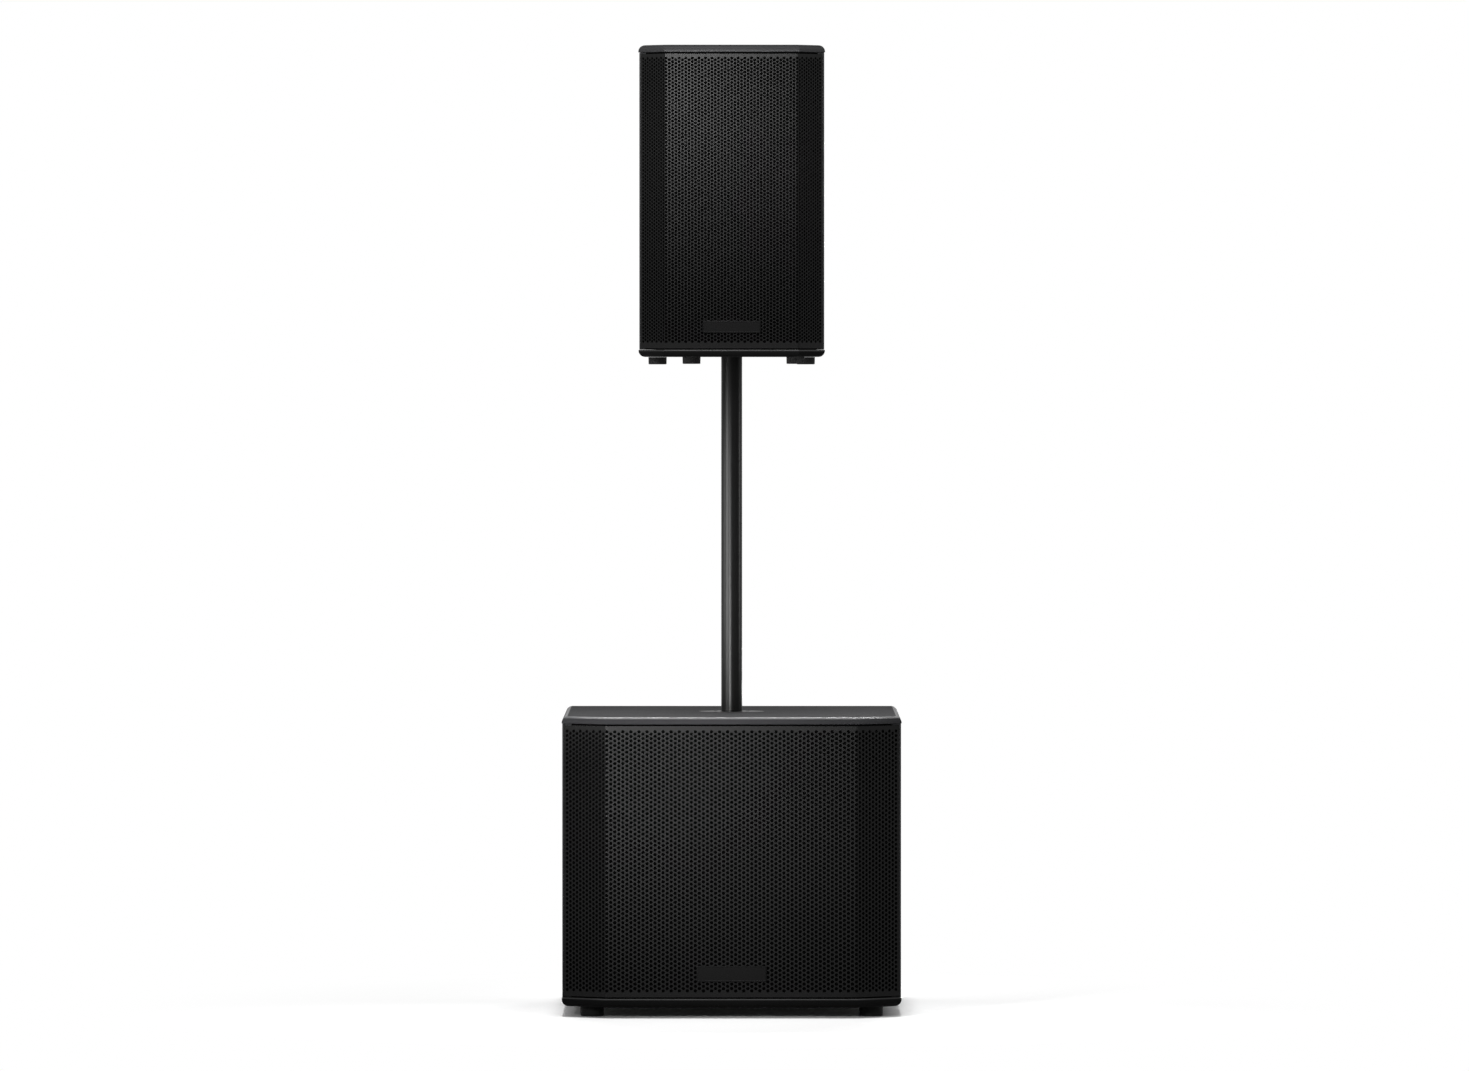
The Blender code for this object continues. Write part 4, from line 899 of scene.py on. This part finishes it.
def power_switch(node, body):
    """The on and off marks let into the rocker's face."""
    low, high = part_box(node)
    middle = (low + high) / 2
    up = MARK_UP * (high.z - low.z)
    on, off = (on_surface(node, (middle.x, high.y + RAY_START, middle.z + side * up), (0, -1, 0))
               for side in (1, -1))
    bm = bmesh.new()
    block(bm, on, *MARK_BAR)
    turned(bm, hoop(*MARK_RING), off, MARK_STEPS)
    add(node + "_marks", bm, body, "plastic", finish=MARKING)


def sockets(node, body, centres, height, outputs):
    """Cores and contacts in the round sockets: sleeves in an input, pins in an output."""
    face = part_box(node)[1].y
    spots = [rolled(math.pi / 2 + contact * FULL_TURN / CONTACTS) @ moved(CONTACT_CIRCLE, 0, 0)
             for contact in range(CONTACTS)]
    pin = [(0, 0), (PIN_RADIUS, 0), *rounded(PIN_RADIUS, PIN_LENGTH, PIN_TIP), (0, PIN_LENGTH)]
    plug = [(0, 0), (CORE_RADIUS, 0), *rounded(CORE_RADIUS, CORE_HEIGHT, CORE_EDGE),
            (CORE_MOUTH, CORE_HEIGHT), (CORE_BORE, CORE_HEIGHT - CORE_LEAD_IN),
            (CORE_BORE, CORE_FLOOR), (0, CORE_FLOOR)]
    spread = Matrix.Diagonal((SLEEVE_SPREAD, SLEEVE_SPREAD, 1, 1))
    core = bmesh.new()
    metal = bmesh.new()
    for number, x in enumerate(centres):
        place = facing_back(x, face, height)
        deep = place @ moved(0, 0, -SOCKET_DEPTH)
        if number in outputs:
            for spot in spots:
                turned(metal, pin, deep @ spot, PIN_STEPS)
        else:
            turned(core, plug, deep, CORE_STEPS)
            for spot in spots:
                turned(metal, hoop(*SLEEVE), deep @ spread @ spot @ moved(0, 0, SLEEVE_HEIGHT), PIN_STEPS)
        block(metal, place @ moved(0, SOCKET_RADIUS + LATCH_GAP, 0), *LATCH)
    add(node + "_cores", core, body, "plastic")
    add(node + "_contacts", metal, body, "plated_steel")


def mains_pins(node, body):
    """The three blades in the mains inlet."""
    low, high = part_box(node)
    middle = (low + high) / 2
    place = facing_back(middle.x, high.y - INLET_DEPTH, middle.z)
    bm = bmesh.new()
    for across, up in BLADES:
        block(bm, place @ moved(across, up, 0), *BLADE)
    add(node + "_pins", bm, body, "plated_steel")


def cooling_fins(name, body, plate, x, z, width, height):
    """A black extruded cooler on a rear plate."""
    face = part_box(plate)[0].y + TRAY_SHEET
    count = round(width / FIN_PITCH)
    bm = bmesh.new()
    block(bm, facing_back(x, face, z), width, height, FIN_BASE, FIN_BASE_EDGE)
    for fin in range(count + 1):
        across = -width / 2 + FIN_SHEET / 2 + fin * (width - FIN_SHEET) / count
        place = facing_back(x, face + FIN_BASE - FIN_SINK, z) @ moved(across, 0, 0)
        block(bm, place, FIN_SHEET, height, FIN_HEIGHT, FIN_EDGE)
    add(name, bm, body, "coated_steel")


def indicator_lamps(name, body, plate, places):
    """Small milky domes that show the state of the amplifier."""
    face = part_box(plate)[0].y + TRAY_SHEET
    dome = [(0, 0), (LAMP_RADIUS, 0), (LAMP_RADIUS, LAMP_COLLAR),
            *rounded(LAMP_DOME, LAMP_HEIGHT, LAMP_DOME), (0, LAMP_HEIGHT)]
    bm = bmesh.new()
    for x, z in places:
        turned(bm, dome, facing_back(x, face, z), SMALL_STEPS)
    add(name, bm, body, "plastic", finish=LENS)


def plate_screws(node, body, across, up):
    """Screws round the flange of a rear plate, so many across and up."""
    low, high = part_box(node)
    middle = (low + high) / 2
    half_width = (high.x - low.x) / 2 - FLANGE_SCREW_INSET
    half_height = (high.z - low.z) / 2 - FLANGE_SCREW_INSET
    spots = set()
    for side in (-1, 1):
        spots |= {(side * half_width, half_height * (2 * step / (up - 1) - 1)) for step in range(up)}
        spots |= {(half_width * (2 * step / (across - 1) - 1), side * half_height) for step in range(across)}
    bm = bmesh.new()
    for x, z in sorted(spots):
        screw(bm, facing_back(middle.x + x, high.y, middle.z + z), FLANGE_SCREW)
    add(node + "_screws", bm, body, "coated_steel")


def handle_screws(node, body, side):
    """Screws in the corners of a pocket handle's plate, on the cabinet's side -1 or 1."""
    low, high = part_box(node)
    bm = bmesh.new()
    for y in (low.y + HANDLE_SCREW_INSET, high.y - HANDLE_SCREW_INSET):
        for z in (low.z + HANDLE_SCREW_INSET, high.z - HANDLE_SCREW_INSET):
            screw(bm, on_surface(node, (side, y, z), (-side, 0, 0)), HANDLE_SCREW)
    add(node + "_screws", bm, body, "coated_steel")


def surround(node, cone):
    """The rubber roll round a cone, in wedges between the basket and the cone."""
    low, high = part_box(node)
    centre = Vector(((low.x + high.x) / 2, high.y, (low.z + high.z) / 2))
    cone_radius = (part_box(cone)[1].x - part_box(cone)[0].x) / 2
    seat_radius = (high.x - low.x) / 2 - ROLL_LIP
    middle = (cone_radius + seat_radius) / 2
    arch = (seat_radius - cone_radius) / 2
    hollow = arch - ROLL_WALL
    turns = [math.pi * step / ROLL_STEPS for step in range(ROLL_STEPS + 1)]
    profile = [(cone_radius - ROLL_LIP, 0), (cone_radius - ROLL_LIP, ROLL_WALL),
               *((middle - arch * math.cos(turn), ROLL_WALL + arch * math.sin(turn)) for turn in turns),
               (seat_radius + ROLL_LIP, ROLL_WALL), (seat_radius + ROLL_LIP, 0),
               *((middle + hollow * math.cos(turn), hollow * math.sin(turn)) for turn in turns),
               (cone_radius - ROLL_LIP, 0)]
    sector = FULL_TURN / ROLL_WEDGES
    for wedge in range(ROLL_WEDGES):
        bm = bmesh.new()
        turned(bm, profile, facing_front(*centre) @ rolled(wedge * sector), WEDGE_STEPS, sector)
        outward = sum((vert.co for vert in bm.verts), Vector()) / len(bm.verts) - centre
        outward = Vector((outward.x, 0, outward.z)).normalized()
        shown = add(f"{node}_{wedge:02d}", bm, None, "rubber", node)
        centre + outward * seat_radius * math.cos(sector / 2)
        centre + outward * cone_radius
        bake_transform(shown)


def stage():
    """A pale floor that keeps the shadow, and a white surround for the camera."""
    f = Finish("floor", {"Roughness": 1.0, "Specular IOR Level": 0.0, "Emission Strength": 1.0})
    pale = f.mix(f.noise(1.5), (0.97, 0.97, 0.97), (0.985, 0.985, 0.985))
    f.feed(f.surface.inputs["Base Color"], f.mix(f.seen(), FLOOR_BOUNCE, pale))
    f.feed(f.surface.inputs["Emission Color"], f.mix(f.seen(), (0, 0, 0), (FLOOR_GLOW,) * 3))
    away = f.node("ShaderNodeVectorMath", {"operation": "LENGTH"}, {0: f.place}, output="Value")
    far = f.ramp(away, FLOOR_NEAR, FLOOR_FAR) * f.seen()
    near = Wire(f, f.surface.outputs[0])
    white = f.node("ShaderNodeEmission")
    f.feed(f.tree.nodes["Material Output"].inputs["Surface"],
           f.node("ShaderNodeMixShader", None, {0: far, 1: near, 2: white}))
    bm = bmesh.new()
    bmesh.ops.create_grid(bm, x_segments=1, y_segments=1, size=FLOOR_REACH, matrix=moved(0, 0, -FLOOR_DROP))
    floor = put("floor", made("floor", bm, f.material))
    world = bpy.data.worlds.new("surround")
    world.use_nodes = True
    bpy.context.scene.world = world
    g = Graph(world.node_tree)
    background = world.node_tree.nodes["Background"]
    background.inputs["Color"].default_value = (1, 1, 1, 1)
    g.feed(background.inputs["Strength"], SURROUND_LIGHT + (1 - SURROUND_LIGHT) * g.seen())


def aimed(light, place, aim):
    """Stand a light at a place, pointing at another, out of the camera's sight."""
    holder = put(light.name, light)
    holder.location = place
    holder.rotation_euler = (Vector(aim) - Vector(place)).to_track_quat("-Z", "Y").to_euler()
    holder.visible_camera = False


def softbox(name, place, aim, width, height, spread, power):
    """A soft rectangular lamp with a grid that keeps its light within a spread in degrees."""
    light = bpy.data.lights.new(name, "AREA")
    light.shape = "RECTANGLE"
    light.size = width
    light.size_y = height
    light.spread = math.radians(spread)
    light.energy = power
    aimed(light, place, aim)


def overhead(name, place, angle, power):
    """A wide far lamp over the floor, so many degrees across."""
    light = bpy.data.lights.new(name, "SUN")
    light.angle = math.radians(angle)
    light.energy = power
    aimed(light, place, (0, 0, 0))


def camera():
    """The photograph's camera."""
    optics = bpy.data.cameras.new("camera")
    optics.sensor_width = SENSOR_WIDTH
    optics.lens = CAMERA_FOCAL_PIXELS / PHOTO_WIDTH * SENSOR_WIDTH
    optics.clip_end = CAMERA_REACH
    holder = put("camera", optics)
    holder.location = CAMERA_PLACE
    holder.rotation_euler = (math.pi / 2 - CAMERA_PITCH, 0, 0)
    bpy.context.scene.camera = holder


for part in record["subparts"]:
    dress(part["node"], part["material_slot"], SOFT_EDGES.get(part["node"], PLAIN_EDGE))

for build in (grille, foam_sheet, edge_shade_strip):
    for cabinet in CABINETS:
        build(cabinet)
for cabinet in CABINETS:
    for end in ("front", "rear"):
        for side in ("left", "right"):
            rubber_foot(f"{cabinet}_foot_{end}_{side}", cabinet)
    badge(f"{cabinet}_badge", cabinet)
    level_knob(f"{cabinet}_level_knob", f"{cabinet}_level", f"{cabinet}_amp_tray")
    power_switch(f"{cabinet}_power_switch", f"{cabinet}_power")
    mains_pins(f"{cabinet}_mains_inlet", cabinet)
    surround(f"{cabinet}_woofer_surround", f"{cabinet}_woofer_cone")
pole()
pole_cup("sub_pole_cup", "sub", mouth_up=True)
pole_cup("upper_pole_cup", "upper", mouth_up=False)
sockets("sub_socket_block", "sub", centres=(0.105, 0.075, 0.045, 0.015), height=0.311, outputs=(2, 3))
sockets("upper_socket_block", "upper", centres=(0.050, 0.020, -0.010), height=1.4245, outputs=(2,))
cooling_fins("sub_cooler", "sub", "sub_amp_tray", x=0.065, z=0.215, width=0.120, height=0.100)
cooling_fins("upper_cooler", "upper", "upper_amp_tray", x=0.020, z=1.310, width=0.110, height=0.045)
indicator_lamps("sub_lamps", "sub", "sub_amp_tray", places=((-0.125, 0.311), (-0.125, 0.325)))
indicator_lamps("upper_lamps", "upper", "upper_amp_tray", places=((-0.030, 1.3645), (-0.030, 1.3785)))
plate_screws("sub_amp_tray", "sub", across=5, up=4)
plate_screws("upper_amp_tray", "upper", across=3, up=5)
handle_screws("sub_handle_left", "sub", side=-1)
handle_screws("sub_handle_right", "sub", side=1)
handle_screws("upper_handle", "upper", side=1)

stage()
camera()
for lamp, setting in SOFTBOXES.items():
    softbox(lamp, *setting)
overhead("over", (-0.03, -0.15, 3.0), angle=8, power=1.75)

bpy.context.scene.view_settings.view_transform = "Standard"
